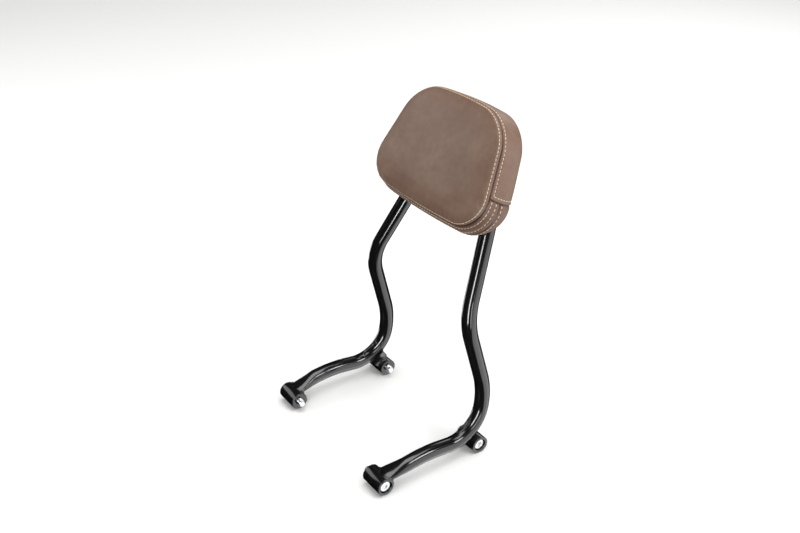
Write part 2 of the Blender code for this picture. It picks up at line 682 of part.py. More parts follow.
for a, b in ((0, 1), (2, 3), (0, 2), (1, 3)):
    first, last = Vector(HOLES[a]), Vector(HOLES[b])
    run = last - first
    rib = cutter("base_rib", block("base_rib", (run.length, BASE_RIB_HEIGHT + BASE_THICKNESS / 2,
                                                BASE_RIB_WIDTH)),
                 pad_plane, ((first.x + last.x) / 2, rib_y, (first.y + last.y) / 2),
                 (0, -math.atan2(run.y, run.x), 0))
    boolean(base, rib, 'UNION')
for x, up in HOLES:
    hole = cutter("base_hole", rod("base_hole", TNUT_BARREL_DIAMETER + 2 * CLEARANCE,
                                   4 * boss_length, 16), pad_plane, (x, boss_middle, up), to_rear)
    boolean(base, hole)


# Foam core, inside the leather and in front of the base.
foam_gap = LEATHER + STITCH_DIP + CLEARANCE
foam_back = base_front - CLEARANCE
back_angle = math.asin((foam_back - SEAM_Y - PAD_DEPTH / 2) / (BOXING_RADIUS - foam_gap))
back_along = (back_angle + BOXING_HALF_ANGLE) * BOXING_RADIUS
foam_rows = [(share, 0) for share in (0.30, 0.70, 0.88, 0.965)]
foam_rings = [front_ring(share, y) for share, y in front_line(foam_rows, foam_gap)]
for share in (0.12, 0.34, 0.56, 0.78, 1.0):
    offset, y = boxing_section(back_along * share, foam_gap)
    foam_rings.append([on_pad(station, offset, y) for station in all_stations])
foam = place("foam_core", lofted("foam_core", foam_rings), FOAM, pad_plane)


# Pad screws from behind, their washers, and the T-nuts in the base.
pad_washer_mesh = ring_mesh("pad_washer", PAD_WASHER_DIAMETER, STRAP_HOLE_DIAMETER,
                            PAD_WASHER_THICKNESS, 16)
pad_screw_mesh = screw_mesh("pad_screw", PAD_SCREW_DIAMETER, PAD_SCREW_LENGTH,
                            PAD_SCREW_HEAD_DIAMETER, PAD_SCREW_HEAD_HEIGHT,
                            PAD_SCREW_SOCKET_WIDTH, PAD_SCREW_SOCKET_DEPTH, 16)
barrel_length = FRONT_Y - base_front
flange, barrel = TNUT_FLANGE_DIAMETER / 2, TNUT_BARREL_DIAMETER / 2
tapped = PAD_SCREW_DIAMETER / 2 + CLEARANCE
tnut_mesh = turned("t_nut", [(tapped, 0.0), (barrel, 0.0), (barrel, -barrel_length - CLEARANCE),
                             (flange, -barrel_length - CLEARANCE),
                             (flange, -barrel_length - CLEARANCE - TNUT_FLANGE_THICKNESS),
                             (tapped, -barrel_length - CLEARANCE - TNUT_FLANGE_THICKNESS)],
                   16, loop=True)
washer_front = strap_back + CLEARANCE
screw_seat = washer_front + PAD_WASHER_THICKNESS + CLEARANCE
pocket_depth = TNUT_FLANGE_THICKNESS + CLEARANCE
tip_depth = foam_back - (screw_seat - PAD_SCREW_LENGTH) + 4 * CLEARANCE
for name, (x, up) in zip(HOLE_NAMES, HOLES):
    place(name + "_pad_washer", pad_washer_mesh, ZINC, pad_plane, (x, washer_front, up), to_rear)
    place(name + "_pad_screw", pad_screw_mesh, ZINC, pad_plane, (x, screw_seat, up), to_rear)
    place(name + "_t_nut", tnut_mesh, ZINC, pad_plane, (x, FRONT_Y, up), to_rear)
    pocket_profile = [(0.0, pocket_depth), (flange + CLEARANCE, pocket_depth),
                      (flange + CLEARANCE, -pocket_depth), (barrel, -pocket_depth),
                      (barrel, -tip_depth - pocket_depth), (0.0, -tip_depth - pocket_depth)]
    pocket = cutter("foam_pocket", turned("foam_pocket", pocket_profile, 16, loop=False),
                    pad_plane, (x, foam_back, up), to_rear)
    boolean(foam, pocket)
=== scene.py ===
"""Motorcycle passenger backrest: a gloss black bent hoop with a topstitched brown leather pad."""
import math
from contextlib import contextmanager

import bmesh
import bpy
import numpy as np
from mathutils import Matrix, Vector, noise
from mathutils.bvhtree import BVHTree
from mathutils.kdtree import KDTree


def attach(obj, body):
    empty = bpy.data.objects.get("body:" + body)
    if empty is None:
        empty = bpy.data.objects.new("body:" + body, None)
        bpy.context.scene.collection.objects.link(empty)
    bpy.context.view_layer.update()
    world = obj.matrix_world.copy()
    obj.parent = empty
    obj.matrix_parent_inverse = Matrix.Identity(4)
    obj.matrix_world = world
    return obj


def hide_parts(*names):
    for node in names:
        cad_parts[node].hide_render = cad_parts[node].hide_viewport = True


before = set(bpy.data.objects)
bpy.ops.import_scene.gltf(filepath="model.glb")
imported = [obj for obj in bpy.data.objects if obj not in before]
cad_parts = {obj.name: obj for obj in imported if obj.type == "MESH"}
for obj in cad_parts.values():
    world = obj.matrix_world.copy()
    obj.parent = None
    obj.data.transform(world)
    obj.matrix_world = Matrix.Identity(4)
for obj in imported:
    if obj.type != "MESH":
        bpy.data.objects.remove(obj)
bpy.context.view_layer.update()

bpy.ops.object.select_all(action='DESELECT')


# Studio: a plain pale floor under soft lights, seen from the left and ahead through a 45 mm lens.
# Floor and sky stay out of the reflections, so that the black gloss keeps deep, and panels and
# strips that light nothing else draw its highlights.

bpy.ops.object.camera_add(location=(1.0361, -0.7254, 0.9555))
camera = bpy.context.object
camera.name = "camera"
look_right, look_up = Vector((0.5674, 0.8234, 0.0)), Vector((-0.3969, 0.2735, 0.8761))
turn = Matrix((look_right, look_up, look_right.cross(look_up))).transposed()
camera.matrix_world = Matrix.Translation(camera.location) @ turn.to_4x4()
camera.data.sensor_width, camera.data.lens = 36.0, 45.27
bpy.context.scene.camera = camera


def linear(hex_code):
    """An sRGB hex colour as the linear colour that a shader reads."""
    channels = [int(hex_code[i:i + 2], 16) / 255 for i in (1, 3, 5)]
    return (*(c / 12.92 if c <= 0.04045 else ((c + 0.055) / 1.055) ** 2.4 for c in channels), 1.0)


def add_node(tree, kind, settings, output=0):
    """Add a node with its properties, its inputs' values and its links, and give its output."""
    made = tree.nodes.new("ShaderNode" + kind)
    for key, value in settings.items():
        if isinstance(value, bpy.types.NodeSocket):
            tree.links.new(value, made.inputs[key])
        elif isinstance(key, str) and hasattr(made, key):
            setattr(made, key, value)
        else:
            made.inputs[key].default_value = value
    return made.outputs[output]


def new_material(name, **settings):
    """A material, its nodes, its Principled shader with the settings, and the place on the piece."""
    made = bpy.data.materials.new(name)
    made.use_nodes = True
    tree = made.node_tree
    shader = tree.nodes["Principled BSDF"]
    for key, value in settings.items():
        shader.inputs[key.replace("_", " ")].default_value = value
    return made, tree, shader, add_node(tree, "TexCoord", {}, "Object")


def wired(tree, shader, **sockets):
    """Link sockets to the shader's inputs."""
    for key, socket in sockets.items():
        tree.links.new(socket, shader.inputs[key.replace("_", " ")])


bpy.ops.mesh.primitive_plane_add(size=16.0)
floor = bpy.context.object
floor.name = "studio_floor"
paper, tree, shader, _ = new_material("studio_paper", Roughness=0.9)
grain = add_node(tree, "TexNoise", {"Scale": 3.0, "Detail": 2.0})
shade = add_node(tree, "Mix", {"data_type": 'RGBA', "Factor": grain, 6: linear("#dfdfde"),
                               7: linear("#e3e3e2")}, 2)
wired(tree, shader, Base_Color=shade)
floor.data.materials.append(paper)
floor.visible_glossy = False


def soft_light(name, place, aim, width, height, power, lights=True, shines=True):
    """A soft box facing a place; it may serve for light alone, or for reflections alone."""
    bpy.ops.object.light_add(type='AREA', location=place)
    light = bpy.context.object
    light.name, light.data.shape, light.data.energy = name, 'RECTANGLE', power
    light.data.size, light.data.size_y = width, height
    light.rotation_euler = (Vector(aim) - Vector(place)).to_track_quat('-Z', 'Y').to_euler()
    light.visible_camera, light.visible_diffuse, light.visible_glossy = False, lights, shines


soft_light("overhead", (0.2, 0.3, 2.6), (0.0, 0.0, 0.3), 1.8, 1.8, 40.0)
soft_light("fill_from_left_ahead", (1.9, -1.5, 1.5), (0.0, 0.0, 0.3), 1.2, 1.2, 4.0, shines=False)
soft_light("side_box", (1.6, 0.7, 1.3), (0.0, 0.1, 0.3), 0.8, 0.5, 14.0)
soft_light("behind", (-1.2, 2.2, 1.6), (0.0, 0.1, 0.3), 1.4, 1.4, 12.0)
soft_light("behind_right", (0.9, 2.3, 1.1), (0.0, 0.1, 0.3), 1.4, 1.2, 8.0)
soft_light("far_side_panel", (-1.8, -1.2, 1.3), (0.0, 0.1, 0.4), 1.6, 1.2, 11.0)
soft_light("rear_panel", (1.46, 1.06, -0.75), (0.1, 0.1, -0.2), 2.8, 3.3, 49.0, lights=False)
soft_light("underneath", (0.1, 0.15, -1.3), (0.1, 0.14, 0.0), 1.4, 1.4, 6.0, lights=False)
soft_light("near_strip", (0.95, -1.18, 0.55), (0.1, 0.1, 0.3), 0.30, 1.4, 22.0, lights=False)
soft_light("side_strip", (1.65, -0.36, 0.20), (0.1, 0.1, 0.3), 0.20, 1.0, 5.0, lights=False)
soft_light("far_low_panel", (-1.7, -0.1, -0.35), (-0.14, -0.1, 0.0), 1.0, 0.5, 5.0, lights=False)
world = bpy.data.worlds.new("studio")
world.use_nodes = True
world.node_tree.nodes["Background"].inputs["Color"].default_value = linear("#ffffff")
world.node_tree.nodes["Background"].inputs["Strength"].default_value = 0.85
bpy.context.scene.world = world
world.cycles_visibility.glossy = False


# Hoop: one steel tube of 22.2 mm, bent on a mandrel bender. Its ends are pressed to an oval and
# coped over the front sleeves; the whole frame is powder coated gloss black after welding.

HALF_WIDTH, MOUNT_PITCH, REAR_MOUNT_DROP, SLEEVE_RADIUS = 0.141, 0.1662, 0.0015, 0.0133
TUBE_RADIUS, ARM_INSET, ARM_RISE, RAKE = 0.0111, 0.0011, 0.0075, math.radians(26.2)
HOOP_TOP_UP, HOOP_RADIUS, TUBE_SIDES = 0.2622, 0.070, 40
FLAT_LENGTH, FLAT_HALF_WIDTH, FLAT_HALF_HEIGHT = 0.040, 0.0150, 0.0062
front_mount = Vector((0.0, -0.131686, 0.0148))
rear_mount = front_mount + Vector((0.0, MOUNT_PITCH, -REAR_MOUNT_DROP))
arm_x = HALF_WIDTH - ARM_INSET - TUBE_RADIUS
arm_start = front_mount + Vector((arm_x, SLEEVE_RADIUS / 2, ARM_RISE))
# Corners of the centre line: the mount they are measured from, how far inboard of the arm, behind
# the mount and above it, and the radius of the bend.
BENDS = ((front_mount, 0.0, 0.0730, 0.0178, 0.200), (rear_mount, 0.0017, 0.0032, 0.0078, 0.0564),
         (rear_mount, 0.0049, 0.0159, 0.0869, 0.1207), (rear_mount, 0.0097, -0.0164, 0.2072, 0.080))
arch, rear_bend, leg, kink = (mount + Vector((arm_x - inset, behind, rise))
                              for mount, inset, behind, rise, _ in BENDS)
side_radii = [bend[-1] for bend in BENDS]
hoop_centre_up = HOOP_TOP_UP - HOOP_RADIUS
lean = (math.atan2(kink.x, hoop_centre_up)
        - math.asin(HOOP_RADIUS / math.hypot(kink.x, hoop_centre_up)))


def bent_path(corners, radii, step=3.0):
    """Points along a line through the corners, each bend with its radius, step in degrees."""
    path = [corners[0]]
    for before, corner, after, radius in zip(corners, corners[1:], corners[2:], radii):
        back, ahead = (before - corner).normalized(), (after - corner).normalized()
        bend = math.pi - back.angle(ahead)
        centre = corner + (back + ahead).normalized() * radius / math.cos(bend / 2)
        start = (corner + back * radius * math.tan(bend / 2) - centre).normalized()
        end = (corner + ahead * radius * math.tan(bend / 2) - centre).normalized()
        count = max(2, round(math.degrees(bend) / step))
        path += [centre + radius * start.slerp(end, i / count) for i in range(count + 1)]
    return path + [corners[-1]]


apex = Vector((0.0, kink.y, kink.z)) + Vector((0.0, math.sin(RAKE), math.cos(RAKE))) * (
    kink.x / math.tan(lean))
across = Vector((-1.0, 1.0, 1.0))
left_corners = [arm_start, arch, rear_bend, leg, kink]
corners = left_corners + [apex] + [corner * across for corner in reversed(left_corners)]
tube_path = bent_path(corners, side_radii + [HOOP_RADIUS] + side_radii[::-1])
arm_run = [arm_start.lerp(tube_path[1], i / 12) for i in range(1, 12)]
tube_path = ([tube_path[0]] + arm_run + tube_path[1:-1]
             + [point * across for point in reversed(arm_run)] + [tube_path[-1]])


def only(part):
    """Select one part alone and make it the active one."""
    bpy.ops.object.select_all(action='DESELECT')
    part.select_set(True)
    bpy.context.view_layer.objects.active = part


@contextmanager
def editing(select='SELECT'):
    """Edit mode on the active part, with everything in it selected, or nothing."""
    bpy.ops.object.mode_set(mode='EDIT')
    bpy.ops.mesh.select_all(action=select)
    yield
    bpy.ops.object.mode_set(mode='OBJECT')


def close_up(part):
    """Merge what coincides and turn every face outwards."""
    only(part)
    with editing():
        bpy.ops.mesh.remove_doubles(threshold=1e-6)
        bpy.ops.mesh.normals_make_consistent(inside=False)


def smoothed(angle):
    """Shade the active part smooth where its faces meet at less than an angle."""
    bpy.ops.object.shade_smooth_by_angle(angle=math.radians(angle))


def swept(name, path, radius, sides, closed=False):
    """A round bar along a path of points, made from a curve; radius may vary from point to point."""
    bpy.ops.curve.primitive_bezier_curve_add()
    curve = bpy.context.object
    curve.name = name
    curve.data.splines.clear()
    line = curve.data.splines.new('POLY')
    line.points.add(len(path) - 1)
    sizes = radius if hasattr(radius, "__len__") else [radius] * len(path)
    for point, place, size in zip(line.points, path, sizes):
        point.co = (*place, 1.0)
        point.radius = size / max(sizes)
    line.use_cyclic_u = closed
    curve.data.dimensions = '3D'
    curve.data.bevel_depth = max(sizes)
    curve.data.bevel_resolution = sides // 4 - 1
    curve.data.use_fill_caps = not closed
    only(curve)
    bpy.ops.object.convert(target='MESH')
    close_up(bpy.context.object)
    smoothed(40)
    return bpy.context.object


def fitted(piece, node, material):
    """Give a finished piece its material, its place on the frame and the node it stands for."""
    piece.data.materials.clear()
    piece.data.materials.append(material)
    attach(piece, "root")
    if node:
        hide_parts(node)


arm_direction = (arch - arm_start).normalized()
arm_rise = Vector((0.0, -arm_direction.z, arm_direction.y))
hoop = swept("hoop_tube_coated", tube_path, TUBE_RADIUS, TUBE_SIDES)
for vertex in hoop.data.vertices:
    side = 1.0 if vertex.co.x > 0 else -1.0
    local = Vector((vertex.co.x * side, *vertex.co.yz)) - arm_start
    along = local.dot(arm_direction)
    if along < FLAT_LENGTH and vertex.co.z < 0.08:
        ease = min(1.0, max(0.0, along / FLAT_LENGTH))
        ease = ease * ease * (3 - 2 * ease)
        wide = FLAT_HALF_WIDTH + (TUBE_RADIUS - FLAT_HALF_WIDTH) * ease
        high = FLAT_HALF_HEIGHT + (TUBE_RADIUS - FLAT_HALF_HEIGHT) * ease
        x = TUBE_RADIUS - wide + local.x * wide / TUBE_RADIUS
        rise = local.dot(arm_rise) * high / TUBE_RADIUS
        place = arm_start + arm_direction * along + arm_rise * rise
        vertex.co = ((arm_start.x + x) * side, place.y, place.z)

# Powder coat, stoved: a hard gloss with faint orange peel of about 2 mm, which breaks up the
# edges of the reflections.
coat, tree, shader, where = new_material("gloss_black_powder_coat", Base_Color=linear("#101011"),
                                         IOR=1.5, Coat_Weight=0.5, Coat_Roughness=0.05)
peel = add_node(tree, "TexNoise", {"Vector": where, "Scale": 1 / 0.002, "Detail": 2.0, "Roughness": 0.4})
cloud = add_node(tree, "TexNoise", {"Vector": where, "Scale": 1 / 0.03, "Detail": 3.0})
haze = add_node(tree, "MapRange", {"Value": cloud, "To Min": 0.12, "To Max": 0.22})
skin = add_node(tree, "Bump", {"Height": peel, "Strength": 0.25, "Distance": 0.00006})
wired(tree, shader, Roughness=haze, Normal=skin)
fitted(hoop, "hoop_tube", coat)


# Front sleeves: turned from 27 mm steel bar, drilled through for an M10 screw and counterbored at
# the outer end, so that the screw's head sits in. Welded across the ends of the tube, then coated.

SLEEVE_LENGTH, HOLE_RADIUS = 0.0400, 0.0056
COUNTERBORE_RADIUS, COUNTERBORE_DEPTH = 0.0094, 0.0114
SLEEVE_EDGE = 0.0010


def turned(name, profile, centre=Vector((0, 0, 0)), segments=48):
    """A part turned about x: the bar's (radius, distance along x from centre), a ring if closed."""
    radius, along = profile[0]
    bpy.ops.mesh.primitive_circle_add(vertices=segments, radius=radius, rotation=(0, math.pi / 2, 0),
                                      location=centre + Vector((along, 0, 0)))
    part = bpy.context.object
    part.name = name
    bpy.ops.object.transform_apply()
    with editing():
        if profile[0] != profile[-1]:
            bpy.ops.mesh.edge_face_add()
            bpy.ops.mesh.select_all(action='SELECT')
            bpy.ops.mesh.select_mode(type='EDGE')
        for next_radius, next_along in profile[1:]:
            bpy.ops.mesh.extrude_edges_move(
                TRANSFORM_OT_translate={"value": (next_along - along, 0, 0)})
            share = next_radius / radius
            bpy.ops.transform.resize(value=(1, share, share),
                                     center_override=(centre.x + next_along, centre.y, centre.z))
            radius, along = next_radius, next_along
        if profile[0] != profile[-1]:
            bpy.ops.mesh.edge_face_add()
    close_up(part)
    return part


def applied(part, kind, **settings):
    """Change a part by a modifier with these settings."""
    only(part)
    change = part.modifiers.new("change", kind)
    for key, value in settings.items():
        setattr(change, key, value)
    bpy.ops.object.modifier_apply(modifier="change")


def eased(part, width, segments=2, angle=30):
    """Break the sharp edges as deburring and coating do, and shade the part smooth."""
    applied(part, 'BEVEL', width=width, segments=segments, limit_method='ANGLE',
            angle_limit=math.radians(angle), use_clamp_overlap=True)
    smoothed(35)


def copied(part, name, shift=(0.0, 0.0, 0.0), mirror=False):
    """A copy with its own mesh, moved, or mirrored to the other side."""
    twin = part.copy()
    twin.data = part.data.copy()
    twin.name = name
    bpy.context.scene.collection.objects.link(twin)
    if mirror:
        twin.data.transform(Matrix.Scale(-1, 4, (1, 0, 0)))
        twin.data.flip_normals()
    twin.data.transform(Matrix.Translation(shift))
    return twin


def both_sides(left, node, material):
    """Fit a left piece and its mirror image on the right."""
    right = copied(left, left.name.replace("left", "right"), mirror=True)
    fitted(left, node, material)
    fitted(right, node and node.replace("left", "right"), material)


sleeve_profile = [(COUNTERBORE_RADIUS, 0.0), (SLEEVE_RADIUS, 0.0), (SLEEVE_RADIUS, -SLEEVE_LENGTH),
                  (HOLE_RADIUS, -SLEEVE_LENGTH), (HOLE_RADIUS, -COUNTERBORE_DEPTH),
                  (COUNTERBORE_RADIUS, -COUNTERBORE_DEPTH), (COUNTERBORE_RADIUS, 0.0)]
left_sleeve = turned("left_front_sleeve_turned", sleeve_profile,
                     front_mount + Vector((HALF_WIDTH, 0, 0)), 64)
rear_sleeve = copied(left_sleeve, "left_rear_boss_turned", rear_mount - front_mount)
eased(left_sleeve, SLEEVE_EDGE, 4)
both_sides(left_sleeve, "left_front_sleeve", coat)


# Rear bosses: the same sleeve with a short tapered neck of bar, which is coped to the tube and
# welded under its rear bend.

NECK_WIDTH, NECK_INSET, NECK_AT_TUBE, NECK_AT_SLEEVE = 0.0200, 0.0130, 0.0260, 0.0180
NECK_BITE, NECK_INNER_DROP, NECK_CORNER, BOSS_EDGE = 0.0040, 0.0080, 0.0045, 0.0007
rear_path = [point for point in tube_path if point.x > 0.05 and point.z < 0.12]
bend_point = min(rear_path, key=lambda point: (point.yz - rear_mount.yz).length)
neck_up = Vector((0, bend_point.y - rear_mount.y, bend_point.z - rear_mount.z))
neck_reach = neck_up.length
neck_up.normalize()
neck_along = Vector((0, neck_up.z, -neck_up.y))
neck_middle = Vector((HALF_WIDTH - NECK_INSET - NECK_WIDTH / 2, *rear_mount.yz))
neck_low = neck_middle + neck_up * (SLEEVE_RADIUS - NECK_BITE)
neck_high = neck_middle + neck_up * neck_reach


def block(place=(0, 0, 0), size=(1, 1, 1), turn=(0, 0, 0)):
    """A square bar to shape: its middle, its size and how it is turned."""
    bpy.ops.mesh.primitive_cube_add(size=1.0, location=place, rotation=turn, scale=size)
    bpy.ops.object.transform_apply()
    return bpy.context.object


def cut(part, tool, how='DIFFERENCE'):
    """Cut a tool out of a part, or join it on, and throw the tool away."""
    applied(part, 'BOOLEAN', operation=how, object=tool, solver='EXACT')
    bpy.data.objects.remove(tool)


neck = block()
for vertex in neck.data.vertices:
    top = vertex.co.z > 0
    middle, length = (neck_high, NECK_AT_TUBE) if top else (neck_low, NECK_AT_SLEEVE)
    if top and vertex.co.x < 0:
        middle = middle - neck_up * NECK_INNER_DROP
    vertex.co = (middle + neck_along * length * vertex.co.y
                 + Vector((NECK_WIDTH * vertex.co.x, 0, 0)))
close_up(neck)
with editing():
    work = bmesh.from_edit_mesh(neck.data)
    for edge in work.edges:
        run = edge.verts[0].co - edge.verts[1].co
        edge.select = abs(run.normalized().dot(neck_up)) > 0.8
    bmesh.update_edit_mesh(neck.data)
    bpy.ops.mesh.bevel(offset=NECK_CORNER, segments=6, affect='EDGES')
cut(rear_sleeve, neck, 'UNION')
close_up(rear_sleeve)
eased(rear_sleeve, BOSS_EDGE, 2, 50)
both_sides(rear_sleeve, "left_rear_boss", coat)


# Cross straps: two flat steel bars, 28 by 4 mm, welded between the uprights flush with their front
# side. Each has two clearance holes for the screws that hold the pad.

STRAP_THICKNESS, STRAP_HEIGHT, STRAP_HOLE_RADIUS = 0.0040, 0.0280, 0.0046
LOWER_STRAP_UP, UPPER_STRAP_UP = 0.1640, 0.2220
STRAP_END_IN, STRAP_EDGE = 0.0050, 0.0005
PAD_WASHER_RADIUS, WASHER_MARGIN = 0.0085, 0.0050
strap_front, strap_back = -TUBE_RADIUS, -TUBE_RADIUS + STRAP_THICKNESS
plane = Matrix.Translation((0.0, kink.y, kink.z)) @ Matrix.Rotation(-RAKE, 4, 'X')


def upright_x(up):
    """Middle of the tube at a height up the plane of the uprights, on the straight or the arc."""
    if up < hoop_centre_up + HOOP_RADIUS * math.sin(lean):
        return kink.x - up * math.tan(lean)
    return math.sqrt(HOOP_RADIUS ** 2 - (up - hoop_centre_up) ** 2)


def hole_x(up):
    """How far out a hole may be, with room for its washer beside the tube."""
    return upright_x(up + PAD_WASHER_RADIUS) - TUBE_RADIUS - PAD_WASHER_RADIUS - WASHER_MARGIN


def round_bar(radius, y_from, y_to, x, z, sides):
    """A round bar square to the plane of the uprights."""
    bpy.ops.mesh.primitive_cylinder_add(vertices=sides, radius=radius, depth=abs(y_to - y_from),
                                        location=(x, (y_from + y_to) / 2, z),
                                        rotation=(math.pi / 2, 0, 0))
    bpy.ops.object.transform_apply()
    return bpy.context.object


def tree_of(part):
    """What finds the nearest point of a part, or where a ray meets it."""
    return BVHTree.FromPolygons([v.co for v in part.data.vertices],
                                [p.vertices for p in part.data.polygons])


holes = [(side * hole_x(up), up) for up in (LOWER_STRAP_UP, UPPER_STRAP_UP) for side in (1, -1)]
bead_paths = []
for name, up in (("lower_strap", LOWER_STRAP_UP), ("upper_strap", UPPER_STRAP_UP)):
    strap = block((0, (strap_front + strap_back) / 2, up),
                  (2 * upright_x(up), STRAP_THICKNESS, STRAP_HEIGHT))
    strap.name = name + "_bar"
    for vertex in strap.data.vertices:
        side = 1 if vertex.co.x > 0 else -1
        vertex.co.x = side * (upright_x(vertex.co.z) - STRAP_END_IN)
    for x, hole_up in holes:
        if hole_up == up:
            cut(strap, round_bar(STRAP_HOLE_RADIUS, strap_front - 0.01, strap_front + 0.01, x, up, 48))
    strap.data.transform(plane)
    close_up(strap)
    eased(strap, STRAP_EDGE)
    fitted(strap, name, coat)
    reach = math.sqrt(TUBE_RADIUS ** 2 - strap_back ** 2)
    for side in (1, -1):
        bead_paths.append([plane @ Vector((side * (upright_x(z) - reach), strap_back + 0.0002, z))
                           for z in np.linspace(up - STRAP_HEIGHT / 2, up + STRAP_HEIGHT / 2, 40)])


# Weld beads: each joint is run round with a MIG torch before coating, which leaves a bead of
# 3 to 4 mm with fine ripples; the coat rounds them over.

BEAD_RADIUS, REAR_BEAD_RADIUS, STRAP_BEAD_RADIUS, RIPPLE = 0.0017, 0.0015, 0.0016, 0.0016


def weld_bead(name, path, radius, closed=True):
    """A rippled bead along a path."""
    run, sizes = 0.0, []
    for i, point in enumerate(path):
        run += (point - path[i - 1]).length if i else 0.0
        sizes.append(radius * (0.90 + 0.12 * abs(math.sin(math.pi * run / RIPPLE))))
    return swept(name, path, sizes, 12, closed)


end_section = []
for angle in np.linspace(0, 2 * math.pi, 144, endpoint=False):
    x = arm_start.x + TUBE_RADIUS - FLAT_HALF_WIDTH + FLAT_HALF_WIDTH * math.cos(angle)
    rise = FLAT_HALF_HEIGHT * math.sin(angle)
    start = arm_start.yz + arm_rise.yz * rise - front_mount.yz
    direction = arm_direction.yz.normalized()
    middle = start.dot(direction)
    across_start = start.length_squared - middle ** 2
    step = -middle + math.sqrt(max(0.0, SLEEVE_RADIUS ** 2 - across_start))
    end_section.append(Vector((x, *(start + direction * step + front_mount.yz))))
both_sides(weld_bead("left_front_weld", end_section, BEAD_RADIUS), None, coat)

hoop_tree = tree_of(hoop)
for joint, tree_below, shift, length, way in (
        ("tube", hoop_tree, Vector((0, 0, 0)), NECK_AT_TUBE, 1),
        ("sleeve", tree_of(left_sleeve), rear_mount - front_mount, NECK_AT_SLEEVE, -1)):
    loop = []
    for angle in np.linspace(0, 2 * math.pi, 160, endpoint=False):
        c, s = math.cos(angle), math.sin(angle)
        reach = 1 / (abs(2 * c / NECK_WIDTH) ** 5 + abs(2 * s / length) ** 5) ** 0.2
        start = (neck_low + neck_high) / 2 + Vector((c * reach, 0, 0)) + neck_along * s * reach - shift
        hit = tree_below.ray_cast(start, neck_up * way, 0.03)[0]
        if hit is not None:
            loop.append(hit + shift)
    both_sides(weld_bead("left_rear_weld_" + joint, loop, REAR_BEAD_RADIUS), None, coat)
for k, path in enumerate(bead_paths):
    bead = weld_bead("strap_weld_%d" % (k + 1), path, STRAP_BEAD_RADIUS, closed=False)
    fitted(bead, None, coat)


# Mounting screws: M10 with a low hexagon socket head, 40 mm long, rolled thread, bright zinc
# plated, each on a flat washer at the bottom of its counterbore.

HEAD_RADIUS, HEAD_HEIGHT, SHANK_RADIUS, SCREW_LENGTH = 0.0080, 0.0070, 0.00495, 0.0400
SOCKET_WIDTH, SOCKET_DEPTH, PLAIN_SHANK, PITCH = 0.0070, 0.0040, 0.0240, 0.0015
WASHER_RADIUS, WASHER_THICKNESS, GAP = 0.0089, 0.0016, 0.0003
SCREW_EDGE, WASHER_EDGE, TIP_CHAMFER = 0.0006, 0.0003, 0.0009
# Corners of the thread's ridge: from the tip, and out of the shank.
RIDGE = ((0.0007, -0.0004), (0.0019, -0.0004), (0.0013, 0.0004))
washer_face = HALF_WIDTH - COUNTERBORE_DEPTH + GAP
head_face = washer_face + WASHER_THICKNESS + GAP

# Zinc, barrel plated and passivated clear: bright, a little blue, with the faint cloudiness that
# the crystals give it.
zinc, tree, shader, where = new_material("bright_zinc_plate", Metallic=1.0)
cloud = add_node(tree, "TexNoise", {"Vector": where, "Scale": 1 / 0.0035, "Detail": 4.0, "Roughness": 0.6})
tint = add_node(tree, "Mix", {"data_type": 'RGBA', "Factor": cloud, 6: linear("#c2c6c9"),
                              7: linear("#e4e6e6")}, 2)
haze = add_node(tree, "MapRange", {"Value": cloud, "To Min": 0.20, "To Max": 0.38})
crystals = add_node(tree, "TexNoise", {"Vector": where, "Scale": 1 / 0.0004, "Detail": 2.0})
skin = add_node(tree, "Bump", {"Height": crystals, "Strength": 0.2, "Distance": 0.00003})
wired(tree, shader, Base_Color=tint, Roughness=haze, Normal=skin)


def socket_screw(name, head, height, shank, length, socket, depth, thread_from=None):
    """A socket head screw on x, the underside of its head at x = 0 and its tip at -length."""
    screw = turned(name, [(head, height), (head, 0.0), (shank, 0.0), (shank, TIP_CHAMFER - length),
                          (shank - TIP_CHAMFER, -length)])
    bpy.ops.mesh.primitive_cylinder_add(vertices=6, radius=socket / 2 / math.cos(math.pi / 6),
                                        depth=2 * depth, location=(height, 0, 0),
                                        rotation=(0, math.pi / 2, 0))
    key = bpy.context.object
    bpy.ops.object.transform_apply()
    cut(screw, key)
    close_up(screw)
    eased(screw, SCREW_EDGE, 3, 50)
    if thread_from:
        bpy.ops.mesh.primitive_circle_add(vertices=3, radius=0.0005, fill_type='NOTHING')
        ridge = bpy.context.object
        for vertex, (x, y) in zip(ridge.data.vertices, RIDGE):
            vertex.co = (x - length, y + shank, 0)
        applied(ridge, 'SCREW', axis='X', steps=32, render_steps=32, screw_offset=PITCH,
                iterations=round((length - thread_from) / PITCH))
        with editing():
            bpy.ops.mesh.fill_holes(sides=3)
        close_up(ridge)
        smoothed(35)
        only(screw)
        ridge.select_set(True)
        bpy.ops.object.join()
    return screw


def flat_washer(name, hole, radius, thickness):
    """A washer on x, its lower face at x = 0."""
    ring = turned(name, [(hole, 0.0), (radius, 0.0), (radius, thickness), (hole, thickness), (hole, 0.0)])
    eased(ring, WASHER_EDGE)
    return ring


mount_screw = socket_screw("mount_screw", HEAD_RADIUS, HEAD_HEIGHT, SHANK_RADIUS, SCREW_LENGTH,
                           SOCKET_WIDTH, SOCKET_DEPTH, PLAIN_SHANK)
mount_washer = flat_washer("mount_washer", HOLE_RADIUS, WASHER_RADIUS, WASHER_THICKNESS)
for side, sign in (("left", 1), ("right", -1)):
    for end, mount in (("front", front_mount), ("rear", rear_mount)):
        for kind, model, face in (("screw", mount_screw, head_face), ("washer", mount_washer, washer_face)):
            node = side + "_" + end + "_" + kind
            place = mount + Vector((sign * face, 0, 0))
            fitted(copied(model, node + "_plated", place, sign < 0), node, zinc)
bpy.data.objects.remove(mount_screw)
bpy.data.objects.remove(mount_washer)


# Pad base: a pan moulded in black ABS, 4 mm thick, which the cover is drawn over. Bosses for the
# T-nuts stand on its back and touch the straps; ribs join them.

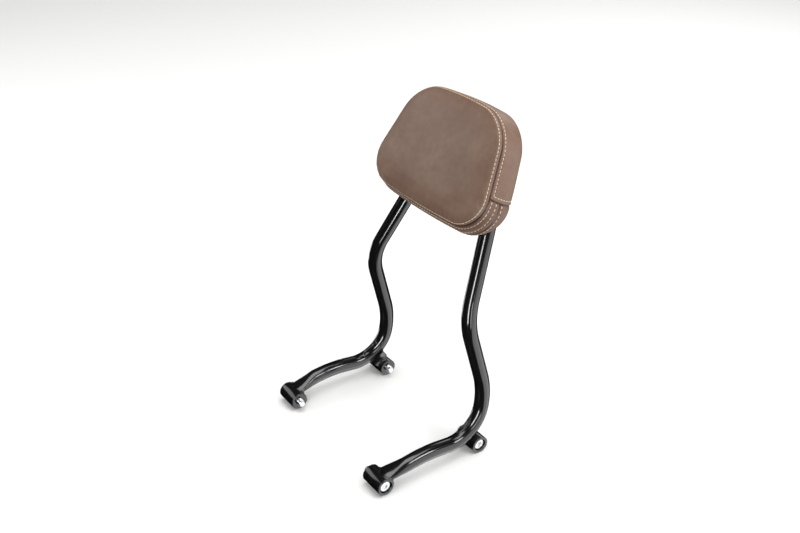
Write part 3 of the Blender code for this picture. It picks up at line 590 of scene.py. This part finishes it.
PAD_HEIGHT, PAD_BOTTOM_WIDTH, PAD_TOP_WIDTH, PAD_TOP_RISE = 0.1640, 0.2700, 0.1945, 0.0211
PAD_LOW_CORNER, PAD_HIGH_CORNER, PAD_TOP_CROWN, PAD_BOTTOM_BOW = 0.0435, 0.0590, 0.0080, 0.0060
STITCH = 0.0055
BACK_Y = strap_front - GAP                       # back of the pad; x across, z up the slope
pad_top = HOOP_TOP_UP + PAD_TOP_RISE
pad_bottom = pad_top - PAD_HEIGHT
side_slope = math.atan2((PAD_BOTTOM_WIDTH - PAD_TOP_WIDTH) / 2, PAD_HEIGHT)


def seam_outline():
    """Evenly spaced points of the front seam, four to a stitch, and which way is out at each."""
    half_low, half_high = PAD_BOTTOM_WIDTH / 2, PAD_TOP_WIDTH / 2
    bends = []
    for radius, z, x, start, end in (
            (PAD_LOW_CORNER, pad_bottom + PAD_LOW_CORNER,
             half_low - PAD_LOW_CORNER * math.tan(math.pi / 4 + side_slope / 2), -math.pi / 2, side_slope),
            (PAD_HIGH_CORNER, pad_top - PAD_HIGH_CORNER,
             half_high - PAD_HIGH_CORNER * math.tan(math.pi / 4 - side_slope / 2), side_slope, math.pi / 2)):
        angle = np.linspace(start, end, 240)
        bends.append(np.column_stack((x + radius * np.cos(angle), z + radius * np.sin(angle))))
    edges = [np.linspace(a, b, 60)[1:-1] for a, b in (((0, pad_bottom), bends[0][0]),
                                                      (bends[0][-1], bends[1][0]),
                                                      (bends[1][-1], (0, pad_top)))]
    half = np.vstack(([[0, pad_bottom]], edges[0], bends[0], edges[1], bends[1], edges[2], [[0, pad_top]]))
    share = (half[:, 1] - pad_bottom) / PAD_HEIGHT
    half[:, 1] += (PAD_BOTTOM_BOW * (1 - share) ** 3 * (half[:, 0] / half_low) ** 2
                   - PAD_TOP_CROWN * share ** 3 * (half[:, 0] / half_high) ** 2)
    loop = np.vstack((half, half[-2::-1] * (-1, 1)))
    run = np.concatenate(([0], np.cumsum(np.linalg.norm(np.diff(loop, axis=0), axis=1))))
    count = 4 * round(run[-1] / STITCH)
    even = np.arange(count) * run[-1] / count
    points = np.column_stack([np.interp(even, run, loop[:, k]) for k in (0, 1)])
    for _ in range(14):
        points = (np.roll(points, 1, 0) + 2 * points + np.roll(points, -1, 0)) / 4
    ahead = np.roll(points, -1, 0) - np.roll(points, 1, 0)
    ahead /= np.linalg.norm(ahead, axis=1)[:, None]
    return points, np.column_stack((ahead[:, 1], -ahead[:, 0])), run[-1]


seam, seam_out, seam_length = seam_outline()
STATIONS = len(seam)
seam_run = np.arange(STATIONS) * seam_length / STATIONS

LEATHER, BASE_THICKNESS, BASE_INSET, BASE_EDGE = 0.0022, 0.0040, 0.0036, 0.0005
BOSS_RADIUS, TNUT_RADIUS, RIB_WIDTH, RIB_HEIGHT = 0.0110, 0.0054, 0.0030, 0.0020
base_back = BACK_Y - LEATHER - GAP
base_front = base_back - BASE_THICKNESS
bpy.ops.mesh.primitive_circle_add(vertices=STATIONS // 2, radius=0.1)
base = bpy.context.object
base.name = "pad_base_moulded"
for vertex, point, out in zip(base.data.vertices, seam[::2], seam_out[::2]):
    x, z = point - out * BASE_INSET
    vertex.co = (x, base_back, z)
with editing():
    bpy.ops.mesh.edge_face_add()
    bpy.ops.mesh.extrude_region_move(TRANSFORM_OT_translate={"value": (0, -BASE_THICKNESS, 0)})
close_up(base)
for x, z in holes:
    cut(base, round_bar(BOSS_RADIUS, base_back - BASE_THICKNESS / 2, BACK_Y, x, z, 64), 'UNION')
for a, b in ((0, 1), (2, 3), (0, 2), (1, 3)):
    first, last = Vector(holes[a]), Vector(holes[b])
    run = last - first
    cut(base, block(((first.x + last.x) / 2, base_back, (first.y + last.y) / 2),
                    (run.length, 2 * RIB_HEIGHT, RIB_WIDTH), (0, -math.atan2(run.y, run.x), 0)), 'UNION')
for x, z in holes:
    cut(base, round_bar(TNUT_RADIUS + GAP, base_front - BASE_THICKNESS, 0.0, x, z, 48))
close_up(base)
base.data.transform(plane)
eased(base, BASE_EDGE)

# ABS, injection moulded in a spark-eroded tool: a fine even grain, drawn a little coarser than the
# real one so that it shows, and a low sheen.
plastic, tree, shader, where = new_material("moulded_black_abs", IOR=1.53)
spark = add_node(tree, "TexNoise", {"Vector": where, "Scale": 1 / 0.0008, "Detail": 3.0, "Roughness": 0.65})
drift = add_node(tree, "TexNoise", {"Vector": where, "Scale": 1 / 0.05, "Detail": 2.0})
tint = add_node(tree, "Mix", {"data_type": 'RGBA', "Factor": drift, 6: linear("#161617"),
                              7: linear("#232324")}, 2)
haze = add_node(tree, "MapRange", {"Value": spark, "To Min": 0.45, "To Max": 0.62})
skin = add_node(tree, "Bump", {"Height": spark, "Strength": 0.5, "Distance": 0.0001})
wired(tree, shader, Base_Color=tint, Roughness=haze, Normal=skin)
fitted(base, "pad_base", plastic)


# T-nuts: drawn from steel sheet with a barrel and a round flange, zinc plated, and set in the base
# from the foam's side before the cover goes on. Hidden in the pad, they stay plain solids.

for name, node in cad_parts.items():
    if "t_nut" in name:
        node.data.materials.clear()
        node.data.materials.append(zinc)


# Foam core: one block of moulded polyurethane foam on the base. The cover is drawn tight over it,
# so the soft body is simulated as a pressed skin, held at the seam and at the back.

PAD_DEPTH, BULGE, SAG, HEM, FOLD = 0.0420, 0.0050, 0.0045, 0.0140, 0.0045
WELT_HEIGHT, WELT_WIDTH, CROWN, CROWN_WIDTH, WEDGE = 0.0052, 0.0026, 0.0044, 0.0170, 0.045
VOXEL, MOST_SWELL, UNDER_HIDE, NEAR = 0.005, 0.0030, 0.0034, 0.006
HELD_AT_SEAM, HELD_AT_BACK, HELD_FADE = 0.0075, 0.011, 0.004
SEAM_Y, HALF_DEPTH = BACK_Y - PAD_DEPTH, PAD_DEPTH / 2
swell = (HALF_DEPTH ** 2 + BULGE ** 2) / (2 * BULGE)
half_angle = math.asin(HALF_DEPTH / swell)
arc_end = 2 * half_angle * swell - 1.5 * FOLD


def boxing_line():
    """(offset, y) of the boxing, densely, from the front seam round the fold to the hem's edge."""
    angle = np.linspace(-half_angle, arc_end / swell - half_angle, 200)
    x = BULGE - swell + swell * np.cos(angle)
    y = SEAM_Y + HALF_DEPTH + swell * np.sin(angle)
    start, corner, end = np.array((x[-1], y[-1])), np.array((0.0006, BACK_Y)), np.array((-FOLD, BACK_Y))
    t = np.linspace(0, 1, 60)[1:, None]
    fold = (1 - t) ** 2 * start + 2 * t * (1 - t) * corner + t ** 2 * end
    flat = np.column_stack((np.linspace(-FOLD, -HEM, 30)[1:], np.full(29, BACK_Y)))
    line = np.vstack((np.column_stack((x, y)), fold, flat))
    run = np.concatenate(([0], np.cumsum(np.linalg.norm(np.diff(line, axis=0), axis=1))))
    return line, run


section, section_run = boxing_line()
boxing_length = section_run[-1]


def leaned(y, z):
    """The pad is a little thicker at its foot: a depth, drawn forward by the height it lies at."""
    return y - (BACK_Y - y) / (BACK_Y - SEAM_Y) * WEDGE * ((pad_top + pad_bottom) / 2 - z)


def round_pad(reach, depth, drop=0.0):
    """Grid of points in the plane's frame, one column a station: how far out of the seam and how deep."""
    x, up = (seam[:, None, k] + seam_out[:, None, k] * reach for k in (0, 1))
    return np.stack((x, leaned(depth, up - drop), up - drop), axis=-1)


def boxing_points(along):
    """The boxing's points, one row to a distance along its section."""
    reach, depth = (np.interp(along, section_run, section[:, k]) for k in (0, 1))
    return round_pad(reach, depth, SAG * np.maximum(0, reach) / BULGE)


def rolled(distance):
    """How far the front stands forward at a distance inside the seam: a tight welt, a soft crown."""
    tight, soft = (np.clip(1 - distance / width, 0, 1) for width in (WELT_WIDTH, CROWN_WIDTH))
    return WELT_HEIGHT * np.sqrt(1 - tight ** 2) + CROWN * (1 - soft ** 2.4)


fine = 0.026 * np.linspace(0, 1, 4000) ** 3
front_run = np.concatenate(([0], np.cumsum(np.hypot(np.diff(fine), np.diff(rolled(fine))))))


def front_points(along):
    """The front panel's points, one row to a distance along its surface in from the seam."""
    inset = np.interp(along, front_run, fine)
    return round_pad(-inset, SEAM_Y - rolled(inset))


def front_depth(x, z):
    """Depth of the front at points of its middle."""
    away = np.sqrt(((np.stack((x, z), -1)[:, None] - seam[None]) ** 2).sum(-1).min(1))
    return leaned(SEAM_Y - rolled(away), z)


def skinned(name, points, faces):
    """A mesh from points in the plane's frame, placed on the hoop."""
    mesh = bpy.data.meshes.new(name)
    mesh.from_pydata([plane @ Vector(p) for p in points.reshape(-1, 3)], [], faces)
    piece = bpy.data.objects.new(name, mesh)
    bpy.context.scene.collection.objects.link(piece)
    only(piece)
    return piece


def grid_faces(columns, rows, closed):
    """Quads of a grid of points stored column by column."""
    faces = []
    for i in range(columns if closed else columns - 1):
        j = (i + 1) % columns
        for k in range(rows - 1):
            faces.append((i * rows + k, j * rows + k, j * rows + k + 1, i * rows + k + 1))
    return faces


front_part = front_points(front_run[-1] * np.linspace(1, 0, 12) ** 1.4)
boxing_part = boxing_points(np.linspace(0, boxing_length, 20)[1:])
rings = np.concatenate((front_part, boxing_part), axis=1)[::4]
faces = grid_faces(len(rings), rings.shape[1], True)
row_count = rings.shape[1]
faces.append([i * row_count for i in range(len(rings))][::-1])
faces.append([i * row_count + row_count - 1 for i in range(len(rings))])
body = skinned("foam_block", rings, faces)
close_up(body)
applied(body, 'REMESH', mode='VOXEL', voxel_size=VOXEL)
to_pad = plane.inverted()
before = [vertex.co.copy() for vertex in body.data.vertices]
seam_points = [Vector((x, leaned(SEAM_Y, z), z)) for x, z in seam[::3]]
held = body.vertex_groups.new(name="held")
for vertex in body.data.vertices:
    local = to_pad @ vertex.co
    near = min((local - point).length for point in seam_points)
    weight = max(0.0, min(1.0, (HELD_AT_SEAM - near) / HELD_FADE),
                 min(1.0, (local.y - BACK_Y + HELD_AT_BACK) / HELD_FADE))
    held.add([vertex.index], weight, 'REPLACE')
cloth = body.modifiers.new("skin", 'CLOTH')
cloth.settings.quality, cloth.settings.mass = 6, 0.3
cloth.settings.tension_stiffness, cloth.settings.compression_stiffness = 25.0, 25.0
cloth.settings.shear_stiffness, cloth.settings.bending_stiffness = 8.0, 2.0
cloth.settings.vertex_group_mass = "held"
cloth.settings.use_pressure, cloth.settings.uniform_pressure_force = True, 4.0
cloth.settings.effector_weights.gravity = 0.0
cloth.collision_settings.use_collision = False
for step in range(1, 21):
    bpy.context.scene.frame_set(step)
bpy.ops.object.modifier_apply(modifier="skin")
bpy.context.scene.frame_set(1)
moves = np.array([vertex.co - start for vertex, start in zip(body.data.vertices, before)])
reach = np.linalg.norm(moves, axis=1)[:, None]
moves *= np.minimum(1, MOST_SWELL / np.maximum(reach, 1e-9))
links = np.array([edge.vertices[:] for edge in body.data.edges])
links = np.vstack((links, links[:, ::-1]))
count = np.bincount(links[:, 0], minlength=len(moves))[:, None]
for _ in range(10):
    total = np.zeros_like(moves)
    np.add.at(total, links[:, 0], moves[links[:, 1]])
    moves = (moves + total / count) / 2
swell_tree = KDTree(len(before))
for i, start in enumerate(before):
    swell_tree.insert(start, i)
swell_tree.balance()


def swollen(points):
    """Points of the cover, moved as the simulated skin near them moved."""
    moved = []
    for point in points.reshape(-1, 3):
        place = plane @ Vector(point)
        near = swell_tree.find_n(place, 12)
        weights = np.array([math.exp(-(distance / NEAR) ** 2) for _, _, distance in near])
        move = weights @ moves[[index for _, index, _ in near]] / weights.sum()
        moved.append(to_pad @ (place + Vector(move)))
    return np.array(moved).reshape(points.shape)


for vertex, start, move in zip(body.data.vertices, before, moves):
    vertex.co = start + Vector(move)
for vertex in body.data.vertices:
    vertex.co -= vertex.normal * UNDER_HIDE
applied(body, 'SUBSURF', levels=1, render_levels=1)
smoothed(60)
for vertex in body.data.vertices:
    local = to_pad @ vertex.co
    local.y = min(local.y, base_front - GAP)
    vertex.co = plane @ local

# Moulded polyurethane foam: charcoal, open cells of about half a millimetre, no gloss at all.
foam, tree, shader, where = new_material("moulded_foam", Roughness=0.95)
cells = add_node(tree, "TexVoronoi", {"Vector": where, "Scale": 1 / 0.0008})
tint = add_node(tree, "Mix", {"data_type": 'RGBA', "Factor": cells, 6: linear("#2c2c2d"),
                              7: linear("#4a4a4b")}, 2)
skin = add_node(tree, "Bump", {"Height": cells, "Strength": 0.7, "Distance": 0.0003})
wired(tree, shader, Base_Color=tint, Normal=skin)
fitted(body, "foam_core", foam)


# Leather cover: a front panel, an upper boxing band and two lower ones, cut from brown hide with a
# scrim, sewn face to face with the seams turned in, topstitched and drawn over the base's edge.

FRONT_ROW, FIRST_ROW, SECOND_ROW, SECOND_SEAM, THIRD_ROW = 0.0056, 0.0050, 0.0130, 0.0200, 0.0240
GROOVE, GROOVE_WIDTH, DIP, DIP_WIDTH, TUCK, HIDE = 0.0019, 0.0013, 0.0009, 0.0011, 0.0018, 0.0016
CROSS_RISE, CROSS_BOW, CROSS_DROP, CROSS_PULL, LAP = 0.0018, 0.0030, 0.0026, 0.0022, 0.0007
PUCKER, CREASE, GATHER, WRINKLE, OVER_CROSS, UNDER_CROSS = 0.0001, 0.0010, 0.0007, 0.0007, 0.0020, 0.0017
# Painted shade: the lower bands, which face down, are darkened all over, and the hollows by their depth.
LOWER_BAND_SHADE, SHADE, SHADE_FROM, SHADE_OVER = 0.38, 0.9, 0.0005, 0.0010     # the lower bands are darker
step = seam_length / STATIONS
pull = 0.72 - 0.28 * np.cos(2 * math.pi * seam_run / STITCH)[:, None]
bend = np.linalg.norm(np.roll(seam_out, -4, 0) - np.roll(seam_out, 4, 0), axis=1) / (8 * step)
corner = np.clip((bend - 6) / 8, 0, 1)[:, None]


def valley(distance, width):
    """A smooth hollow, 1 deep on its line."""
    return np.exp(-(distance / width) ** 2)


def square_to(points):
    """Unit normals of a grid whose columns run round the pad."""
    normal = np.cross(np.roll(points, -1, axis=0) - np.roll(points, 1, axis=0), np.gradient(points, axis=1))
    return normal / np.linalg.norm(normal, axis=2)[..., None]


def uneven(points, size, seed):
    """Smooth irregular heights between about -1 and 1, the same at each run."""
    flat = points.reshape(-1, 3) / size
    heights = [noise.noise(Vector(point) + Vector((seed, 0, 0))) for point in flat]
    return np.array(heights).reshape(points.shape[:-1])


cross_z = pad_bottom + PAD_LOW_CORNER * (1 + math.sin(side_slope)) + CROSS_RISE
right_cross = min(range(STATIONS // 3), key=lambda i: abs(seam[i, 1] - cross_z))
left_cross = STATIONS - right_cross
stations = np.arange(STATIONS)
above_cross = np.minimum(stations - right_cross, left_cross - stations)[:, None] * step

# The rows of points lie closer at the seams and the rows of stitches. The front is puckered
# between its stitches and creased at its corners.
front_along = np.array([0, .4, .8, 1.2, 1.7, 2.3, 3.0, 3.7, 4.2, 4.6, 5.0, 5.3, 5.6, 5.9, 6.2, 6.6, 7.0,
                        7.6, 8.4, 9.4, 10.6, 12, 14, 16.5, 19.5, 23, 27, 31]) / 1000
front_along = front_along[front_along < front_run[-1]]
grid = front_points(front_along)
pucker = (PUCKER * valley(front_along - 0.0095, 0.0035)
          * np.cos(math.pi * seam_run / STITCH + 2.5 * uneven(grid[:, 0], 0.03, 3.0))[:, None])
crease = (CREASE * valley(front_along - 0.013, 0.0055) * (0.5 + 1.3 * corner)
          * np.maximum(0, uneven(grid, 0.016, 7.0) - 0.10))
front_dip = (GROOVE * valley(front_along, GROOVE_WIDTH)
             + DIP * valley(front_along - FRONT_ROW, DIP_WIDTH) * pull + pucker + crease)
front_grid = swollen(grid)
front_grid -= square_to(front_grid) * front_dip[..., None]

# The boxing is gathered round the corners behind, wrinkled where it is drawn tight, and pulled in
# at the cross seams, where the upper band laps over the lower ones.
along = np.array([0, .4, .8, 1.2, 1.7, 2.3, 3.0, 3.6, 4.0, 4.4, 4.7, 5.0, 5.3, 5.6, 6.0, 6.5, 7.2, 8.2, 9.5,
                  11, 11.8, 12.3, 12.7, 13, 13.3, 13.7, 14.2, 15, 16.2, 17.6, 18.4, 18.9, 19.3, 19.7, 20,
                  20.3, 20.7, 21.1, 21.6, 22.3, 22.9, 23.4, 23.7, 24, 24.3, 24.7, 25.2, 26, 27.5, 29.5, 32,
                  34.5, 37, 38.5, 39.7, 40.8, 41.9, 43, 44.2, 45.5, 47, 49, 51.5, 54]) / 1000
along = np.append(along[along < boxing_length - 0.0015], boxing_length)
grid = boxing_points(along)
fold_along = section_run[np.argmax(section[:, 1] > BACK_Y - 1e-6)]
behind = np.clip((along - fold_along + 0.004) / (boxing_length - fold_along), 0, 1)
back_share = np.clip(along / fold_along, 0, 1)
gathers = (GATHER * behind * (0.15 + corner)
           * np.maximum(0, np.cos(2 * math.pi * seam_run / 0.0085
                                  + 2.5 * uneven(grid[:, 0], 0.02, 5.0))[:, None] - 0.1))
tension = (WRINKLE * valley(along - 0.030, 0.008) * (0.4 + corner)
           * np.maximum(0, uneven(grid * (1.0, 0.35, 1.0), 0.011, 11.0) - 0.05))
drawn = CROSS_PULL * valley(above_cross, 0.011) * np.sin(math.pi * back_share)
shared = (GROOVE * valley(along, GROOVE_WIDTH) + gathers + tension + drawn
          + DIP * valley(along - FIRST_ROW, DIP_WIDTH) * pull)
lap = LAP * valley(np.maximum(above_cross - 0.0015, 0), 0.006) * np.clip(along / 0.004, 0, 1)
upper_dip = (shared - lap + OVER_CROSS * valley(above_cross, 0.0011)
             + DIP * valley(above_cross - STITCH, DIP_WIDTH))
lower_dip = (shared + UNDER_CROSS * valley(above_cross, 0.0014)
             + GROOVE * valley(along - SECOND_SEAM, GROOVE_WIDTH)
             + DIP * (valley(along - SECOND_ROW, DIP_WIDTH) + valley(along - THIRD_ROW, DIP_WIDTH)) * pull)
blown = swollen(grid)
blown[..., 2] += valley(above_cross, 0.014) * (CROSS_BOW * np.sin(math.pi * back_share)
                                               - CROSS_DROP * back_share)
inwards = square_to(blown)
upper_grid = blown + inwards * upper_dip[..., None]
lower_grid = blown + inwards * lower_dip[..., None]
tucked = blown[:, 0] - np.column_stack((seam_out[:, 0], np.zeros(STATIONS), seam_out[:, 1])) * TUCK
for side in (front_grid, upper_grid, lower_grid):
    side[:, 0] = tucked

# Hide, drum dyed brown and finished semi-aniline: the dye lies cloudy, the grain is small pebbles,
# drawn about twice their size so that they show. Wax gives a soft sheen. The grooves, stitch holes
# and wrinkles get a painted shade by their depth, and the lower bands an even painted shade.
leather, tree, shader, where = new_material(
    "brown_leather", Specular_IOR_Level=0.5, Coat_Weight=0.18, Coat_Roughness=0.32,
    Sheen_Weight=0.18, Sheen_Roughness=0.45, Sheen_Tint=linear("#e8d8c8"))
cloud = add_node(tree, "TexNoise", {"Vector": where, "Scale": 1 / 0.045, "Detail": 4.0, "Roughness": 0.55})
mottle = add_node(tree, "TexNoise", {"Vector": where, "Scale": 1 / 0.008, "Detail": 3.0})
pebble = add_node(tree, "TexVoronoi", {"feature": 'SMOOTH_F1', "Vector": where, "Scale": 1 / 0.0022,
                                       "Smoothness": 0.35})
pores = add_node(tree, "TexNoise", {"Vector": where, "Scale": 1 / 0.0007, "Detail": 3.0})
dye = add_node(tree, "MapRange", {"Value": cloud, "From Min": 0.3, "From Max": 0.7})
hide = add_node(tree, "Mix", {"data_type": 'RGBA', "Factor": dye, 6: linear("#644736"),
                              7: linear("#705644")}, 2)
fleck = add_node(tree, "MapRange", {"Value": mottle, "From Min": 0.35, "From Max": 0.75, "To Max": 0.35})
flecked = add_node(tree, "Mix", {"data_type": 'RGBA', "Factor": fleck, 6: hide, 7: linear("#5b3c2e")}, 2)
shade = add_node(tree, "Attribute", {"attribute_name": "seam_shade"}, "Fac")
# Painted shade: where the seam_shade attribute is high, the hide turns dark brown. It is high in the hollows
# and over the lower bands.
groove_painted_shade = add_node(tree, "Mix", {"data_type": 'RGBA', "Factor": shade, 6: flecked, 7: linear("#451d0a")}, 2)
haze = add_node(tree, "MapRange", {"Value": mottle, "To Min": 0.38, "To Max": 0.56})
grain = add_node(tree, "Bump", {"Height": pebble, "Strength": 0.35, "Distance": 0.00018})
skin = add_node(tree, "Bump", {"Height": pores, "Normal": grain, "Strength": 0.25, "Distance": 0.00006})
wired(tree, shader, Base_Color=groove_painted_shade, Roughness=haze, Normal=skin)


def panel(piece, node, shades, outwards):
    """Finish a panel: face out, its seams' shade, the hide's thickness, smooth."""
    face = piece.data.polygons[0]
    if face.normal.dot(plane.to_3x3() @ Vector(outwards)) < 0:
        piece.data.flip_normals()
    tone = piece.data.attributes.new("seam_shade", 'FLOAT', 'POINT')
    values = np.zeros(len(piece.data.vertices))
    values[:shades.size] = np.clip(shades.ravel(), 0, 1)
    tone.data.foreach_set("value", values)
    applied(piece, 'SOLIDIFY', thickness=HIDE, offset=-1)
    smoothed(70)
    fitted(piece, node, leather)


def shade_of(dips):
    """Painted shade in the grooves, stitch holes and other hollows, by how deep they dip."""
    return np.clip((dips - SHADE_FROM) / SHADE_OVER, 0, 1) * SHADE


rows = front_grid.shape[1]
front = skinned("front_panel_hide", front_grid, grid_faces(STATIONS, rows, True))
with editing('DESELECT'):
    bpy.ops.mesh.select_mode(type='VERT')
    work = bmesh.from_edit_mesh(front.data)
    for vertex in work.verts:
        vertex.select = vertex.index % rows == rows - 1
    work.select_flush(True)
    bmesh.update_edit_mesh(front.data)
    bpy.ops.mesh.fill_grid(span=STATIONS * 9 // 40)
    bpy.ops.mesh.select_all(action='SELECT')
    bpy.ops.mesh.normals_make_consistent(inside=False)
inner = list(front.data.vertices)[STATIONS * rows:]
flat = np.array([to_pad @ vertex.co for vertex in inner])
flat[:, 1] = front_depth(flat[:, 0], flat[:, 2])
for vertex, point in zip(inner, swollen(flat)):
    vertex.co = plane @ Vector(point)
panel(front, "front_panel", shade_of(front_dip - crease), (seam_out[0][0], 0, seam_out[0][1]))

upper_part = np.arange(right_cross, left_cross + 1)
lower_part = np.concatenate((np.arange(left_cross, STATIONS), np.arange(0, right_cross + 1)))
split = int(np.argmin(abs(along - SECOND_SEAM)))
# The lower bands get an even painted shade on top of the painted shade of their hollows.
for name, part_of, chosen, dips, dark, first, last in (
        ("upper_boxing", upper_part, upper_grid, upper_dip, 0.0, 0, len(along)),
        ("lower_boxing_front", lower_part, lower_grid, lower_dip, LOWER_BAND_SHADE, 0, split + 1),
        ("lower_boxing_rear", lower_part, lower_grid, lower_dip, LOWER_BAND_SHADE, split, len(along))):
    band = skinned(name + "_hide", chosen[part_of][:, first:last],
                   grid_faces(len(part_of), last - first, False))
    x, z = seam_out[part_of[0]]
    panel(band, name, dark + shade_of(dips - drawn)[part_of][:, first:last], (x, 0, z))


# Topstitching: bonded polyester thread of about 1 mm in tan, 5.5 mm to the stitch. One stitch is
# shaped, three strands twisted with its ends drawn into the hide, and set along each row.

STITCH_HALF, THREAD_RADIUS, TWIST, END_DIP = 0.00212, 0.00054, 2.6, 0.0008
bpy.ops.mesh.primitive_uv_sphere_add(segments=6, ring_count=9, radius=1.0)
stitch = bpy.context.object
for vertex in stitch.data.vertices:
    x, y, z = vertex.co
    angle = math.atan2(y, x) + TWIST * z
    lobe = 1.0 if round(3 * math.atan2(y, x) / math.pi) % 2 else 0.80
    wide = THREAD_RADIUS * lobe * math.sqrt(max(0.0, 1 - abs(z) ** 5)) if abs(z) < 0.999 else 0.0
    vertex.co = (STITCH_HALF * z, wide * math.cos(angle), wide * math.sin(angle) - END_DIP * abs(z) ** 3.5)
close_up(stitch)
smoothed(80)

# Polyester thread: dull, with the sheen of filament; its strands darken where they meet. The seams
# are sewn with a dark brown one, too deep in to show its twist.
threads = []
for name, roughness, sheen, dark, light, relief in (
        ("tan_polyester_thread", 0.55, 0.3, "#c6a681", "#ecd9bb", 0.4),
        ("dark_brown_thread", 0.60, 0.2, "#23130c", "#3a2318", 0.0)):
    made, tree, shader, where = new_material(name, Roughness=roughness, Sheen_Weight=sheen)
    strand = add_node(tree, "TexNoise", {"Vector": where, "Scale": 1 / 0.0009, "Detail": 2.0})
    tint = add_node(tree, "Mix", {"data_type": 'RGBA', "Factor": strand, 6: linear(dark),
                                  7: linear(light)}, 2)
    skin = add_node(tree, "Bump", {"Height": strand, "Strength": relief, "Distance": 0.0001})
    wired(tree, shader, Base_Color=tint, Normal=skin)
    threads.append(made)
thread, dark_thread = threads


def joined(name, model, places):
    """Copies of a model, one at each place, as a single piece."""
    ones = [copied(model, name) for _ in places]
    only(ones[-1])
    for one, place in zip(ones, places):
        one.data.transform(place)
        one.select_set(True)
    bpy.ops.object.join()
    bpy.context.object.name = name
    return bpy.context.object


def stitch_row(name, spots, heads, outs, material=thread, lift=0.00030, size=(1.0, 1.0, 1.0)):
    """Set the stitch along a row of spots, each with its run and its outward direction."""
    places = []
    for spot, head, out in zip(spots, heads, outs):
        head, out = Vector(head).normalized(), Vector(out).normalized()
        out = (out - head * out.dot(head)).normalized()
        turn = Matrix((head, out.cross(head), out)).transposed().to_4x4()
        places.append(plane @ Matrix.Translation(Vector(spot) + out * lift) @ turn
                      @ Matrix.Diagonal((*size, 1.0)))
    fitted(joined(name, stitch, places), None, material)


def row_on(name, chosen, spots, row, direction, phase=0, **how):
    """A row of stitches on a grid, at every fourth station of those given."""
    normals = square_to(chosen) * direction
    runs = np.roll(chosen, -2, axis=0) - np.roll(chosen, 2, axis=0)
    picked = [i for i in spots if i % 4 == phase]
    stitch_row(name, chosen[picked, row], runs[picked, row], normals[picked, row], **how)


def nearest(values, distance):
    """Which of the values is nearest to a distance."""
    return int(np.argmin(abs(values - distance)))


row_on("front_stitching", front_grid, stations, nearest(front_along, FRONT_ROW), 1)
row_on("upper_boxing_stitching", upper_grid, upper_part[2:-2], nearest(along, FIRST_ROW), -1)
for name, row in (("first", FIRST_ROW), ("second", SECOND_ROW), ("third", THIRD_ROW)):
    row_on("lower_boxing_%s_stitching" % name, lower_grid, lower_part[2:-2], nearest(along, row), -1)
for name, at in (("left_cross_stitching", right_cross + 4), ("right_cross_stitching", left_cross - 4)):
    line = upper_grid[at]
    reach = np.arange(FIRST_ROW + 0.6 * STITCH, fold_along - 0.002, STITCH)
    normal = -square_to(upper_grid)[at]
    pick = [np.array([np.interp(reach, along, values[:, k]) for k in range(3)]).T
            for values in (line, np.gradient(line, axis=0), normal)]
    stitch_row(name, *pick)
row_on("seam_stitching", front_grid, stations, 2, 1, phase=2, material=dark_thread, lift=-0.0002,
       size=(0.55, 0.7, 0.7))
bpy.data.objects.remove(stitch)


# Hem staples: galvanised wire staples, 10 mm across the crown, shot through the hem into the base
# about every 16 mm, clear of the straps, the hoop and the cross seams.

STAPLE, STAPLE_EDGE, STAPLE_INSET, STAPLE_ROOM = (0.0100, 0.0006, 0.0012), 0.00025, 0.0048, 0.006
wire = block(size=STAPLE)
eased(wire, STAPLE_EDGE)
places = []
for i in range(0, STATIONS, 12):
    x, z = seam[i] - seam_out[i] * (HEM - STAPLE_INSET)
    by_strap = any(abs(z - up) < STRAP_HEIGHT / 2 + 0.003 and abs(x) < upright_x(up)
                   for up in (LOWER_STRAP_UP, UPPER_STRAP_UP))
    spot = Vector((x, BACK_Y, z))
    if not (by_strap or hoop_tree.find_nearest(plane @ spot)[3] < STAPLE_ROOM
            or abs(above_cross[i, 0]) < STAPLE_ROOM):
        along_hem = -math.atan2(seam_out[i][0], -seam_out[i][1])
        places.append(plane @ Matrix.Translation(spot) @ Matrix.Rotation(along_hem, 4, 'Y'))
fitted(joined("hem_staples", wire, places), None, zinc)
bpy.data.objects.remove(wire)


# Pad screws: four M8 socket screws with washers, put in from behind through the straps into the
# T-nuts of the base, bright zinc plated.

PAD_HEAD_RADIUS, PAD_HEAD_HEIGHT, PAD_SHANK_RADIUS, PAD_SCREW_LENGTH = 0.0070, 0.0044, 0.0039, 0.0160
PAD_SOCKET_WIDTH, PAD_SOCKET_DEPTH, PAD_WASHER_HOLE = 0.0050, 0.0026, 0.0042
pad_screw = socket_screw("pad_screw", PAD_HEAD_RADIUS, PAD_HEAD_HEIGHT, PAD_SHANK_RADIUS,
                         PAD_SCREW_LENGTH, PAD_SOCKET_WIDTH, PAD_SOCKET_DEPTH)
pad_washer = flat_washer("pad_washer", PAD_WASHER_HOLE, PAD_WASHER_RADIUS, WASHER_THICKNESS)
washer_seat = strap_back + GAP
for (x, z), place in zip(holes, ("lower_left", "lower_right", "upper_left", "upper_right")):
    for kind, model, seat in (("pad_screw", pad_screw, washer_seat + WASHER_THICKNESS + GAP),
                              ("pad_washer", pad_washer, washer_seat)):
        node = place + "_" + kind
        piece = copied(model, node + "_plated")
        piece.data.transform(plane @ Matrix.Translation((x, seat, z)) @ Matrix.Rotation(math.pi / 2, 4, 'Z'))
        fitted(piece, node, zinc)
bpy.data.objects.remove(pad_screw)
bpy.data.objects.remove(pad_washer)

bpy.context.scene.view_settings.view_transform = 'Standard'
